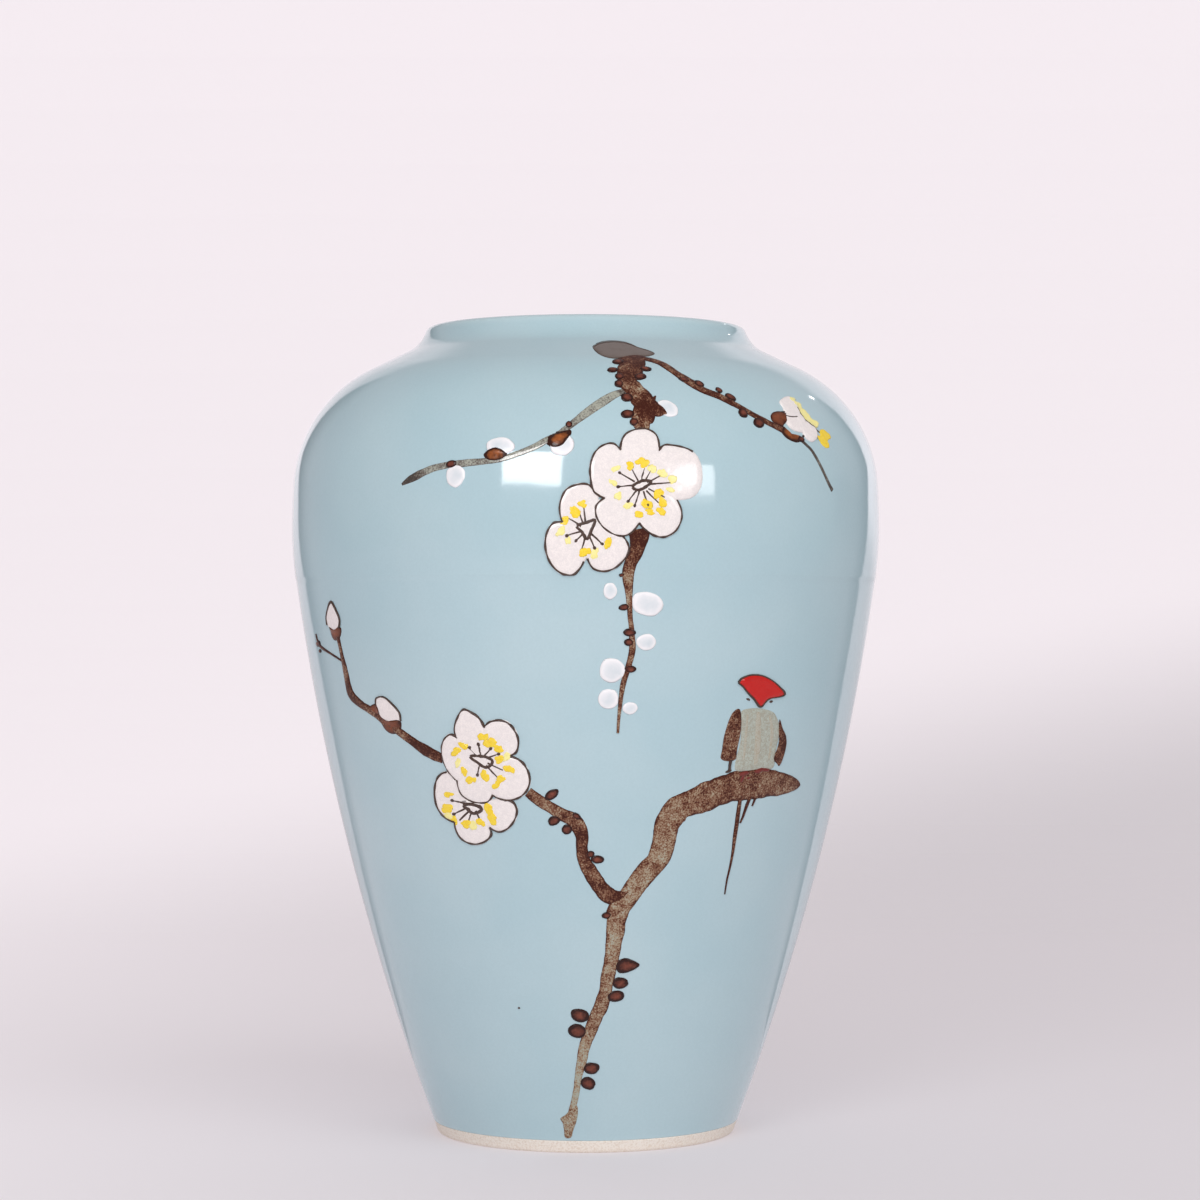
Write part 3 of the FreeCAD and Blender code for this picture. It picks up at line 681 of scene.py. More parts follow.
breastWash = overglazeEnamel("paleSlipWash", "#B3BBB0", "#9D998A", roughness=0.25, amount=0.8)
tanWash = overglazeEnamel("tanSlipWash", "#A89F8C", "#B4B3A6", roughness=0.25, amount=0.9)

# How each kind of mark is made: the mesh that its rows give, the tree that shapes it and its usual look
onWall = {"wall": wall, "ground": wall, "sink": 0.12 * mm}
marks = {
    "stroke": (strokeMesh, strokeTree(), {
        "relief": 0.3 * mm, "wobble": 0.5, "wobbleSize": 260.0, "step": 0.7 * mm, "sides": 16, "seed": 1.0,
        "edgeShift": 7.3}),
    "patch": (patchMesh, patchTree(), {
        "relief": 0.5 * mm, "unevenness": 0.16 * mm, "brushSize": 700.0, "seed": 2.0}),
    "dab": (dabMesh, dabTree(), {
        "relief": 0.45 * mm, "wobble": 0.35, "copies": 1, "scatter": 0.0, "sides": 20, "seed": 4,
        "bend": 900.0, "bendScale": 1.1}),
}


def lay(kind, name, rows, slot, *nodes, form={}, **look):  # one piece of the painting, on the vase
    makeMesh, tree, usual = marks[kind]
    made = runTree(name, makeMesh(name, rows, **form), tree, {**onWall, **usual, **look})
    return settle(made, slot, *nodes)


# Hanging bough: x, y, width and, where it isn't full, load of each stroke
hangingBough = [
    [(630.7, 355.5, 28, 0.9), (631.7, 364, 25.5, 0.92), (629.7, 371.5, 24.5, 0.9), (627.3, 379.5, 20, 0.9),
     (630.5, 385.5, 20, 0.75), (636.3, 391.5, 17.5, 0.55), (642.5, 398, 21, 0.88), (645, 409, 23, 0.93),
     (643, 417, 22, 0.75), (641.5, 423, 20, 0.55), (643.5, 430, 13, 0.6)],
    [(642, 358, 4), (660, 363, 5.5, 0.8), (675, 372.5, 6.5, 0.75), (688, 381, 9, 0.85),
     (703, 390, 8.2, 0.85), (717, 395.5, 7, 0.85), (730.3, 402.2, 6.5, 0.82), (743.7, 409.5, 6, 0.9),
     (757, 417, 6, 0.9), (770.5, 424, 6.3, 0.85), (782, 430, 6.2, 0.9)],
    [(638, 529, 24), (639, 538, 20), (636.5, 550, 14.5, 0.9), (630.5, 564, 13, 0.75),
     (628, 576, 11.5, 0.55), (628.8, 590, 8.5, 0.5), (629.5, 603, 6, 0.4), (630.2, 617, 5, 0.5),
     (631.5, 628, 5.5, 0.6), (632.3, 649, 7, 0.6), (629.5, 663, 6.3, 0.6), (623.1, 684, 5.6, 0.5),
     (621, 698, 4.4, 0.5), (619, 715, 3.3, 0.6), (617.8, 733, 2.5, 0.7)],
]
# The left-hand twig and the tip of the right-hand one, which lie thin and grey under the glaze
hangingTwig = [
    [(625, 390.5, 5, 0.6), (613, 395.5, 8, 0.15), (600, 403.3, 9.5, 0.1), (585, 414, 8.5, 0.1),
     (570, 425.5, 6.5, 0.3), (557, 435, 6, 0.4), (546, 440.5, 7, 0.2), (534, 447, 6.5, 0.1),
     (518, 453.5, 6, 0.1), (501, 459, 6, 0.3), (482, 461.5, 6.5, 0.3), (466, 463, 7.5, 0.25),
     (450, 464.7, 6.5, 0.3), (436, 467.5, 7, 0.1), (425, 471.5, 7.5, 0.25), (415.5, 476.5, 8, 0.8),
     (408, 480.5, 6), (402, 484.5, 2.5)],
    [(800.5, 439.5, 3.6), (807, 445.5, 3, 0.9), (812.5, 451.5, 3, 0.8), (822, 469, 2.8, 0.8),
     (828, 482, 2.8, 0.8), (832.3, 490.5, 3.2)],
]
# Rising bough: the pale trunk first, then the limbs
risingBough = [
    [(569.8, 1120, 5, 0.2), (571.5, 1112, 6.5, 0.15), (573.3, 1105, 6.5, 0.1), (575.6, 1096, 6.5, 0),
     (578, 1079, 7, 0), (581.6, 1062, 10, 0.1), (584, 1048, 11.5, 0.15), (589.7, 1033, 12.5, 0.3),
     (596.3, 1016, 14, 0.45), (601.3, 1006, 14.5, 0.65), (605.5, 990, 13, 0.4), (608.8, 973, 14, 0.35),
     (612.3, 955, 15, 0.35), (614.6, 936, 17, 0.35), (616.5, 920, 20, 0.45), (619.4, 908, 22.5, 0.45),
     (633.6, 889, 21, 0.4), (646.5, 872, 22.5, 0.4), (659.5, 857, 23, 0.4), (664, 839, 23.5, 0.4),
     (668, 823, 25, 0.45), (676, 811, 27, 0.5), (687, 804.5, 27, 0.5), (702, 798.8, 29.5, 0.5),
     (718.6, 791.8, 29.5, 0.55), (733, 787, 30.5, 0.65), (746, 785, 31.5, 0.65), (760, 783.8, 32, 0.6),
     (770, 783.4, 28.5, 0.55), (785, 784.6, 21, 0.6), (793, 784.6, 14.5, 0.65), (797.5, 784.8, 8.5, 0.8),
     (799.5, 784.8, 3, 0.9)],
    [(528, 792, 11, 0.6), (541, 801.7, 11.5, 0.6), (552, 808.5, 12, 0.6), (563, 815, 13, 0.65),
     (574, 820.5, 14.5, 0.65), (579.5, 828, 14.5, 0.7), (582, 837, 13, 0.95), (581.8, 848, 12, 0.9),
     (584.3, 861, 13, 0.8), (592.3, 875.6, 15, 0.75), (602, 889.5, 17, 0.8), (611, 897, 16, 0.85),
     (620, 896.5, 13, 0.9), (628, 891.5, 7, 0.9)],
    [(443, 759, 9, 0.9), (436, 756, 11, 0.8), (425, 750, 11), (410.7, 740, 8.8, 0.8), (398, 731, 8.2, 0.8),
     (386, 722, 8.8, 0.7), (375, 713, 8.2, 0.7), (362.5, 705.5, 6.8, 0.8), (352, 695.5, 8.2, 0.9),
     (348.2, 684.6, 6.3, 0.8), (345.5, 670.4, 5.2, 0.7), (342.9, 659.6, 4.5, 0.8), (340.2, 647, 3.4, 0.8),
     (337.9, 637, 4.2)],
    [(342.5, 661, 1.8), (332, 654.3, 1.8), (321.4, 647, 2.2), (318.5, 643, 2)],
    [(319, 645, 1.8), (317.3, 639, 1.4), (316.2, 634, 1)],
]
# Patches: a middle, a loop of pixels round it and, where they aren't 0, layer and load
trunkFoot = [((569.5, 1119), [(560.2, 1118.6), (564.5, 1115.5), (568.5, 1111.5), (570.8, 1105.5),
                              (577.2, 1105.5), (578, 1113), (576.8, 1120.5), (573.5, 1130), (571, 1138),
                              (565, 1138), (564, 1130), (562.5, 1123)], 0, 0.3)]
print("making the boughs")
lay("stroke", "hangingBough", hangingBough, "bough_brown", "hanging_bough", material=boughSlip)
lay("stroke", "risingBough", risingBough, "bough_brown", "rising_bough", material=boughSlip)
lay("stroke", "hangingTwig", hangingTwig, "bough_brown", relief=0.12 * mm, wobble=0.3, material=twigSlip)
lay("patch", "trunkFoot", smoothed(trunkFoot, 3), "bough_brown", relief=0.32 * mm, material=boughSlip)

# Knots of both boughs: x, y, length, width, lean and any taper
knots = [
    (612.5, 370, 11, 5.5, 5), (618, 361.8, 12, 6, 5), (645.5, 369, 12, 5.5, 0), (640, 376.8, 14, 7, 12),
    (619, 384, 9, 8, 0), (627, 397.5, 13, 9, 0), (627.5, 414, 14, 9, 0), (634, 422, 9, 8, 0),
    (619.5, 376.5, 9, 8, 0), (569, 424.5, 7, 7, 40), (451.5, 464, 11, 8, 10), (699, 384.3, 10, 8, 0),
    (684, 380, 11, 5, -15), (718.8, 390.3, 7, 6, -30), (730.3, 397.3, 11, 7.5, -25),
    (743, 413.2, 10, 9.5, 20), (758.5, 423, 11.5, 10.5, 0), (801, 439.4, 7, 6, -20),
    (624, 607.2, 11, 6.5, 10), (629.5, 632.4, 13, 8, 0), (629, 642.2, 10, 7.5, 0),
    (630.2, 669, 12, 7.5, -5), (621.7, 575, 6, 4, 30, -0.6), (627.8, 965.5, 25, 14.5, 0, -0.45),
    (620.4, 983, 17, 12, -5, -0.1), (615.4, 996, 18, 12, 5), (579.8, 1015.3, 19, 14, -15),
    (577.3, 1031, 19, 15, -5), (591.4, 1068.3, 17, 12.5, 0), (588, 1083.3, 16, 13, -25),
    (551.8, 794.4, 16, 9, 35), (554, 820.6, 13.5, 9.5, 25), (567, 829.3, 11, 10, 40),
    (597.5, 859.3, 13.5, 8.5, -5), (590.5, 854, 8, 7, 0), (576.5, 816, 10, 6, -35),
    (606.5, 915.3, 10, 7, 10), (318.5, 643.6, 7, 5, 60), (320.5, 651, 4, 3, 80),
]
print("making the knots")
lay("dab", "boughKnots", knots, "iron_red_brown", "bough_knots", material=knotSlip)

# Blossoms round their middles. A petal's rim is a row of turns and reaches in pixels, from one notch
# to the next. A blossom under "behind" is partly hidden by the one that is named there.
blossoms = {
    "largeTop": {"middle": (641, 485.3), "layer": 0.06, "behind": None, "petals": [
        [(119.5, 43), (112.6, 50.7), (104.4, 55.5), (90, 57.9), (80.7, 56.8), (72.3, 52.8), (64.5, 43)],
        [(62.8, 40), (60.8, 47), (53, 51.5), (44.5, 56.3), (33, 62.9), (21.8, 64.3), (9.3, 62.8),
         (-3.5, 59.8), (-13.5, 53), (-22.4, 40)],
        [(-22.4, 40), (-30.8, 47.6), (-39, 53.2), (-50.8, 58), (-62, 58.7), (-70.9, 56), (-79.4, 50),
         (-93, 39)],
        [(-93, 39), (-103, 50.9), (-112.8, 56.3), (-126.3, 58), (-139.7, 57.2), (-150.5, 54),
         (-157.4, 48.5), (-160.5, 40)],
        [(199, 40), (190, 47.8), (177.7, 51), (165.5, 54), (153.9, 56.8), (140.8, 57.8), (130, 55.2),
         (123, 50.4), (120, 42)]]},
    "besideTop": {"middle": (586, 530), "layer": -0.12, "behind": "largeTop", "petals": [
        [(62, 38), (77, 40), (83, 45), (90, 47.5), (101, 47.7), (115, 46.6), (127.4, 41.6), (142, 35),
         (161, 26)],
        [(161, 26), (167, 34), (178.7, 39), (194, 43.2), (212.3, 47.7), (231, 51), (245.8, 50.5),
         (256.8, 45.5), (266, 33)],
        [(273, 30), (279.4, 39.3), (290.7, 45.4), (304.4, 48.7), (320, 49.5), (333.4, 49.2), (342, 45.4),
         (350, 39)],
        [(-10, 39), (20, 42), (50, 42), (62, 38)]]},
    "largeLow": {"middle": (482, 759.6), "layer": 0.06, "behind": None, "petals": [
        [(138.5, 35), (132, 42), (120, 49.8), (110.3, 54.8), (102.5, 49.7), (93, 42.4), (86, 34)],
        [(86, 34), (80, 38.9), (69, 43.5), (55.5, 46.4), (39.6, 45), (25.4, 41.8), (12, 36), (8, 28)],
        [(8, 28), (0, 38.3), (-10.4, 46.7), (-23.6, 53.8), (-35.4, 55.7), (-46.8, 54), (-58.9, 48.4),
         (-68.3, 42), (-73, 38)],
        [(-73, 38), (-81, 43.6), (-94.6, 44.4), (-107.6, 43.4), (-121.8, 40.8), (-139, 33.5)],
        [(221, 33.5), (208.6, 35), (191, 37.8), (175, 40.8), (162, 43.2), (150.7, 43.9), (140.8, 41.6),
         (138, 34)]]},
    "belowLow": {"middle": (474, 806), "layer": -0.12, "behind": "largeLow", "petals": [
        [(118, 36), (128.5, 45), (140, 47.4), (153.3, 44.7), (168.5, 40.8), (186, 36.6), (205.6, 31),
         (220, 26)],
        [(220, 26), (242, 34), (258.4, 38), (272.8, 39.5), (287.7, 38.5), (301, 35), (307, 28)],
        [(307, 28), (314, 37), (327, 42.2), (342.6, 44.6), (355, 44.7), (366, 40.4), (371, 33)],
        [(11, 33), (40, 34), (80, 34), (118, 36)]]},
}
# Turns between which a rim has no drawn line, as on the side of the large blossom that catches light
plainRims = {"largeTop": (-21, 30)}
petalLook = {"lap": 8, "lapReach": 0.8, "halfReach": 0.92, "apex": 7, "centre": 0.45, "lapMm": 0.02,
             "hidden": 2, "inset": 1.5, "line": 1.6, "swell": 1.4, "swells": 1.3}


def rimPixel(middle, turn, far):
    return middle[0] + far * math.cos(math.radians(turn)), middle[1] - far * math.sin(math.radians(turn))


def covers(blossom, x, y):  # whether a blossom lies over this pixel
    middle = blossom["middle"]
    far = math.hypot(x - middle[0], y - middle[1])
    turn = math.degrees(math.atan2(middle[1] - y, x - middle[0]))
    for petal in blossom["petals"]:
        for (turnA, farA), (turnB, farB) in zip(petal, petal[1:]):
            low, high = min(turnA, turnB), max(turnA, turnB)
            inside = (turn - low) % 360
            if inside <= high - low:
                share = inside / (high - low) if turnA < turnB else 1 - inside / (high - low)
                return far < farA + (farB - farA) * share - petalLook["hidden"]
    return False


def openReach(blossom, turn, far):  # the rim, or where a blossom in front hides it
    cover = blossoms.get(blossom["behind"])
    if cover and covers(cover, *rimPixel(blossom["middle"], turn, far)):
        for step in range(int(far)):
            if covers(cover, *rimPixel(blossom["middle"], turn, step)):
                return step, True
    return far, False


print("making the blossoms")
loops = []
outlines = []
for label, blossom in blossoms.items():
    middle = blossom["middle"]
    bare = plainRims.get(label, (0, 0))
    for order, petal in enumerate(blossom["petals"]):
        rim = smoothLine(petal, 4)
        first, last = petal[0], petal[-1]
        lap = petalLook["lap"] * (1 if last[0] > first[0] else -1)
        far, half = petalLook["lapReach"], petalLook["halfReach"]
        sides = [(first[0] - lap, first[1] * far), (first[0] - lap / 2, first[1] * half), *rim,
                 (last[0] + lap / 2, last[1] * half), (last[0] + lap, last[1] * far)]
        loop = [rimPixel(middle, turn, openReach(blossom, turn, far)[0]) for turn, far in sides]
        half = (first[0] + last[0]) / 2
        loop.append(rimPixel(middle, half + 180, petalLook["apex"]))
        reach = openReach(blossom, half, petal[len(petal) // 2][1])[0]
        centre = rimPixel(middle, half, petalLook["centre"] * reach)
        loops.append((centre, loop, (blossom["layer"] + order * petalLook["lapMm"]) * mm))
        outlines.append([])
        for turn, far in rim[::2]:
            if openReach(blossom, turn, far)[1] or bare[0] < turn < bare[1]:
                outlines.append([])
            else:
                outlines[-1].append(rimPixel(middle, turn, far - petalLook["inset"]))
petals = lay("patch", "blossomPetals", loops, "white_enamel", "blossom_petals", form={"rings": 12},
             material=whiteEnamel)

# Round buds: x, y, length, width, lean and any taper
buds = [
    (667.3, 408, 22, 17, -20), (561.8, 444, 24, 24, 0), (500.3, 446, 28, 18, 0),
    (455.6, 476.3, 22, 20, 90, 0.1), (610.2, 591, 17, 14, 90), (647.7, 603.7, 33, 24, -10),
    (646.3, 642.2, 20, 16.5, 0), (612.6, 670.3, 27, 24, 0, -0.15), (608.4, 699, 21, 20, 0),
    (630.2, 708.2, 15, 12.5, 0),
]
# Two long buds, and the petals of a small blossom seen from its side on the right-hand twig
longBuds = [
    ((388, 711), [(376.8, 698), (384, 697), (392.9, 704.3), (400, 713.2), (401, 721), (392, 723),
                  (383, 719), (377, 708)]),
    ((334, 619), [(331.5, 603), (337, 611), (340, 620), (339, 629), (334, 631), (329, 627), (327, 618),
                  (328.5, 609)]),
    ((788.5, 407), [(779, 402), (783, 397.5), (789, 396.4), (794, 400), (798, 408), (800, 415), (792, 419),
                    (785, 414), (782, 407)]),
    ((794.5, 420), [(783.8, 412), (791, 410), (799, 413), (805, 420), (808, 429), (802, 433), (792, 430),
                    (785, 422)], 0.05 * mm),
    ((808.5, 431), [(799, 423), (805, 421), (811, 424), (816, 430), (817, 438), (812, 442.5), (806, 439),
                    (801, 431)], 0.1 * mm),
]
print("making the buds")
budPieces = [
    lay("dab", "roundBuds", buds, "white_enamel", "flower_buds", relief=0.4 * mm, wobble=0.3, sides=32,
        material=thinEnamel),
    lay("patch", "longBuds", smoothed(longBuds), "white_enamel", material=whiteEnamel),
]

# Bird: middles and loops of pixels, painted in this order, then how each one is painted
birdParts = {
    "breast": ((757, 738), [(741.3, 711), (750, 708), (760, 708), (769, 710), (775, 713.6), (779.6, 724.3),
                            (779.5, 735), (777, 746), (775, 757), (773.5, 768), (761.2, 771),
                            (750.5, 771.5), (735.5, 771), (735.5, 760), (739, 747), (740.6, 736.5),
                            (740.5, 722)]),
    "leftWing": ((731.5, 737), [(739.5, 708.7), (741.5, 718.2), (740.5, 733.5), (737, 750), (735.5, 759.5),
                                (728, 761.5), (720.8, 759), (721.8, 750.5), (724, 736), (729, 720),
                                (733.5, 711.5)], 0, 0.75),
    "rightWing": ((781.8, 743), [(779.6, 719), (782, 727), (785.6, 735), (786, 745), (783.5, 756),
                                 (779.5, 766), (776.5, 763.5), (773, 759), (777, 749), (779, 740),
                                 (778.4, 730)], 0, 0.85),
    "cap": ((761.5, 687), [(738.3, 682.5), (741, 678.5), (746, 676), (752, 674.5), (761.2, 675.3),
                           (770.4, 679.3), (778, 685.5), (784.4, 693), (781, 696.5), (770.4, 698.5),
                           (765.8, 701), (760, 707), (753.6, 699), (747.5, 693), (743, 687)]),
}
birdLook = {
    "breast": (0.3, breastWash, "breast_grey", "bird_breast"),
    "leftWing": (0.45, boughSlip, "bough_brown", "bird_wings"),
    "rightWing": (0.45, boughSlip, "bough_brown"),
    "cap": (0.6, redEnamel, "crest_red", "bird_cap"),
}
print("making the bird")
birdPieces = []
for label, (relief, material, slot, *node) in birdLook.items():
    birdPieces.append(lay("patch", label, smoothed([birdParts[label]]), slot, *node, relief=relief * mm,
                          material=material))

# The cut end of the hanging bough, the dark mass where its twigs meet, and the dark calyxes
cutEnd = [((624, 350), [(592, 346.5), (600, 343), (612, 341.5), (628, 343), (640, 348), (655, 353),
                        (649, 356.5), (636, 356.5), (622, 358.5), (610, 358.5), (598, 354)])]
starMass = [((647, 408), [(630, 401), (638, 396), (648, 399), (656, 395), (656, 402), (663, 408),
                          (667, 415), (658, 417), (652, 416), (646, 422), (635, 420), (637, 411)], 0, 1)]
cutPiece = lay("patch", "cutEnd", smoothed(cutEnd), "bough_brown", relief=0.35 * mm, material=cutSlip)
calyxLoops = [
    ((559, 438), [(546, 438), (551, 434), (558, 430.5), (570, 429), (572, 433.5), (567, 440.5), (562, 446),
                  (553.4, 448), (546.5, 445)]),
    ((495, 454.5), [(483, 455), (488, 450), (496, 447.5), (504, 451), (507, 457), (498, 461), (488, 461)]),
    ((791, 434), [(780, 425), (783, 426), (787, 432), (793, 436), (801, 436), (803, 440), (797, 443),
                  (787, 439), (781, 432)]),
]
umberLoops = [
    ((777, 418), [(770.2, 416), (773, 412), (779, 410.8), (784, 413), (785, 421), (783, 427), (777, 425),
                  (772, 421.5)]),
    ((391, 726), [(380, 719.5), (388, 721.5), (396, 719.5), (401.6, 722), (401, 731), (393, 734.5),
                  (385, 730)]),
    ((375, 710), [(368, 708), (374, 703.5), (378, 706), (380, 714), (375, 716), (370, 713)]),
    ((335.5, 633.5), [(330, 627), (336, 630.5), (341.5, 628), (340.6, 637), (335, 641), (331, 635)]),
]


def groundOf(*pieces):  # the wall with what is painted on it so far, which later marks lie on
    verts, faces = [], []
    for piece in pieces:
        first = len(verts)
        verts += [v.co for v in piece.data.vertices]
        faces += [[first + i for i in p.vertices] for p in piece.data.polygons]
    ground = bpy.data.objects.new("ground", newMesh("ground", verts, faces=faces))
    scene.collection.objects.link(ground)
    return ground


painted = groundOf(wall, petals, cutPiece, *budPieces, *birdPieces)
print("making the calyxes")
lay("patch", "darkMass", smoothed(starMass), "iron_red_brown", form={"edge": 0.5}, ground=painted,
    relief=0.36 * mm, material=boughSlip)
lay("patch", "amberCalyxes", smoothed(calyxLoops), "iron_red_brown", "bud_calyxes", form={"edge": 0.85},
    ground=painted, relief=0.3 * mm, material=calyxSlip)
lay("patch", "umberCalyxes", smoothed(umberLoops), "iron_red_brown", form={"edge": 0.85}, ground=painted,
    relief=0.3 * mm, material=umberSlip)

# Stamens round each middle: reach in pixels and turn of each line, how many end in a dark dot, the hub,
# and the anthers, bright and pale, so many to a pixel from the middle
stamens = {
    "largeTop": {
        "lines": [(24.8, 151), (23, 183), (20.7, 225), (21.4, 252.6), (20.8, 288), (24.4, 313), (26, 337),
                  (28.8, 5), (21, 25), (19.6, 54), (17.3, 84), (18, 122)],
        "dotted": 5, "hub": [(632, 487.5), (637, 483), (644, 480.5), (651, 481.5), (647, 486), (639, 490)],
        "bright": [(-85, 155), (-10, 185), (30, 170), (-20, -230), (65, -210), (150, -200), (165, -130),
                   (130, -70), (40, -160)],
        "pale": [(-195, 125), (-220, 20), (-180, -75), (-105, -155), (85, 125), (160, 90), (250, 50),
                 (220, -30)], "unit": 7.84},
    "besideTop": {
        "lines": [(19.6, 193), (14.5, 232), (19.7, 299), (21, 325), (19, 264), (21, 142), (21, 115),
                  (24, 94.5)],
        "dotted": 4, "hub": [(577, 526), (586, 522.5), (595, 520), (592, 529), (587, 539), (582, 532)],
        "bright": [(-95, 155), (-25, 200), (-165, 80), (-15, -175), (165, -100), (-85, 130)],
        "pale": [(-195, -15), (70, -180), (-140, -90)], "unit": 7.84},
    "largeLow": {
        "lines": [(17, 137), (16, 99.5), (14.6, 52), (18, 20), (15.2, 249.5), (23.6, 335), (24, 312)],
        "dotted": 5, "hub": [(471, 756), (481, 755.5), (492, 759), (492, 764), (486, 767), (478, 762)],
        "bright": [(10, 130), (50, 95), (100, 65), (-100, 80), (-140, 45), (100, 5), (155, -50),
                   (100, -110), (90, -140), (20, -90), (-60, -110), (-95, -60)],
        "pale": [(-135, -15), (140, 20)], "unit": 5.6},
    "belowLow": {
        "lines": [(22, 159), (21, 195), (19.6, 223), (18, 250), (17, 295)],
        "dotted": 2, "hub": [(464, 805), (473, 804), (482, 808), (479, 812), (473, 813), (468, 809)],
        "bright": [(-135, 65), (-150, -15), (-110, -80), (-40, -100), (40, -90), (110, -70), (85, -10)],
        "pale": [(0, -110), (-140, -50)], "unit": 5.6},
}
stamenLook = {"bend": 7, "shares": (0.3, 0.65, 1), "widths": (2.1, 1.6, 1.2), "dot": (4, 3.2), "hub": 3.1,
              "antherLong": (5.5, 7.2), "antherWide": (0.6, 0.85)}
print("making the stamens")
dice = random.Random(11)
lines, tips = [], []
anthers = {"bright": [], "pale": []}
for label, centre in stamens.items():
    x, y = blossoms[label]["middle"]
    for index, (far, turn) in enumerate(centre["lines"]):
        bend = dice.uniform(-stamenLook["bend"], stamenLook["bend"])
        spots = [rimPixel((x, y), turn + bend * share, far * share) for share in stamenLook["shares"]]
        lines.append([(*spot, width) for spot, width in zip(spots, stamenLook["widths"])])
        if index < centre["dotted"]:
            tips.append((*spots[-1], *stamenLook["dot"], turn))
    hub = smoothLine(centre["hub"], 3, closed=True)
    lines.append([(*spot, stamenLook["hub"]) for spot in hub + hub[:1]])
    for tone, rows in anthers.items():
        for across, up in centre[tone]:
            long = dice.uniform(*stamenLook["antherLong"])
            wide = long * dice.uniform(*stamenLook["antherWide"])
            spot = (x + across / centre["unit"], y - up / centre["unit"])
            rows.append((*spot, long, wide, dice.uniform(0, 180)))
# Marks on the small blossom, and the rim of the cut end
anthers["bright"] += [(825, 436, 7, 7, 75), (824.5, 441, 7, 6.5, 60)]
anthers["pale"] += [(793, 400, 5, 4, -50), (798, 405, 6, 5, -50), (803, 411, 6, 5, -50),
                    (808, 417, 6.5, 5, -50), (814, 422.5, 6, 5, -50)]
lines += [
    [(797, 408, 1.4), (800.5, 413, 2.2), (804, 417.5, 1.6)],
    [(803, 416, 1.4), (806.5, 421, 2.4), (810, 425, 1.8), (816, 427.5, 1.4)],
    [(784.5, 416, 1), (790, 417.6, 1), (796, 417.4, 0.9)],
    [(815, 428, 1.2), (820, 433, 1.4)],
    [(592.5, 347, 1.4), (598, 344, 2.4), (605, 342.3, 3.4), (614, 341.8, 3.6), (624, 342.8, 3.4),
     (631, 345, 2.6), (640, 348.6, 1.4), (654, 353, 1.2)],
]
onPaint = {"ground": painted, "sink": 0.1 * mm}
lay("dab", "anthers", anthers["bright"], "heart_yellow", "blossom_hearts", **onPaint, relief=0.13 * mm,
    wobble=1.3, sides=10, copies=8, scatter=0.95, material=yellowEnamel)
lay("dab", "paleAnthers", anthers["pale"], "heart_yellow", **onPaint, relief=0.1 * mm, wobble=1.3, sides=10,
    copies=6, scatter=0.9, material=paleEnamel)

print("drawing the lines")
thin, swell, often = (petalLook[label] for label in ("line", "swell", "swells"))
rims = [[(x, y, thin + swell * math.cos(often * i + line[0][0]) ** 2) for i, (x, y) in enumerate(line)]
        for line in outlines if len(line) > 2]
# Rims of the bird's cap and of the two long buds, and the bird's leg
rims += [
    [(738.2, 682.6, 2), (741, 678.8, 1.8), (746, 676.2, 1.4), (752, 674.8, 1.6), (761, 675.5, 1.6),
     (770.2, 679.4, 1.8), (778, 685.7, 1.6), (784.2, 693.2, 2.4), (780.8, 696.2, 1.6), (770.4, 698.2, 1.2),
     (765.6, 701, 2), (760, 706.6, 2.6), (753.6, 698.8, 2), (747.5, 692.6, 1.6), (742.8, 686.8, 1.2),
     (738.4, 682.9, 1.6)],
    [(376.6, 706, 1.2), (376.6, 698.4, 1.6), (384, 697, 1.3), (392.6, 704.2, 1.6), (399.8, 713, 1.3),
     (401, 721, 1.6)],
    [(327.8, 625, 1.3), (327, 617, 1.3), (328.4, 609, 1.3), (331.4, 601.5, 1.8), (336.8, 611, 1.3),
     (340, 620, 1.3), (339.2, 628, 1.3)],
    [(730.7, 760, 3.2), (729.6, 765, 2.8), (729.3, 770.5, 2.8)],
]
# The bird's eyes and foot, and a speck on the wall
eyes = [(748.2, 699.4, 4.6, 2.2, -20), (771.2, 701.6, 3.8, 2.6, 10), (728.5, 771.3, 7, 3, 20),
        (519, 1008, 2.6, 2.2, 0)]
lay("stroke", "inkLines", lines, "iron_red_brown", **onPaint, relief=0.1 * mm, step=0.5 * mm, sides=8,
    wobble=0.7, material=lineSlip)
lay("stroke", "petalOutlines", rims, "iron_red_brown", relief=0.56 * mm, step=0.5 * mm, sides=8,
    wobble=0.8, material=lineSlip)
for label, rows, ground in (("inkDots", tips, painted), ("eyes", eyes, wall)):
    lay("dab", label, rows, "iron_red_brown", ground=ground, relief=0.16 * mm, sides=12, material=lineSlip)
streaks = [
    [(758, 711, 3), (757.5, 725, 6), (757, 745, 6.5), (755, 765, 4)],
    [(769, 715, 1.5), (771.5, 732, 3), (768.5, 758, 2.5)],
    [(747, 714, 1.5), (745.5, 735, 3), (743, 760, 2)],
]
lay("stroke", "breastStreaks", streaks, "breast_grey", **onPaint, relief=0.05 * mm, wobble=0.9,
    material=tanWash)

# The bird's tail feathers and its claws on the bough
tail = [
    [(740.6, 796, 3, 0.9), (739.8, 802, 4, 0.9), (738.2, 813, 4.2, 0.9), (737, 822.3, 4.2, 0.9),
     (734.8, 836, 4, 0.8), (733, 850, 3, 0.8), (730, 866, 2.2, 0.9), (726.8, 880, 1.6), (724.6, 894, 1.2)],
    [(750.6, 796, 3, 0.9), (746.8, 805, 3.4), (742.6, 817, 2.4), (740, 823, 1.6)],
    [(755.6, 796, 2), (754, 801, 2.2), (752, 806, 1.6)],
]
lay("stroke", "birdTail", tail, "iron_red_brown", "bird_tail", material=boughSlip)
claws = [(744, 773.5, 11, 5, 15), (742, 778.5, 8, 3.5, 70), (759, 770.5, 10, 5, 20),
         (765.5, 769.8, 8, 4, -5), (748, 778, 4, 3, 0)]
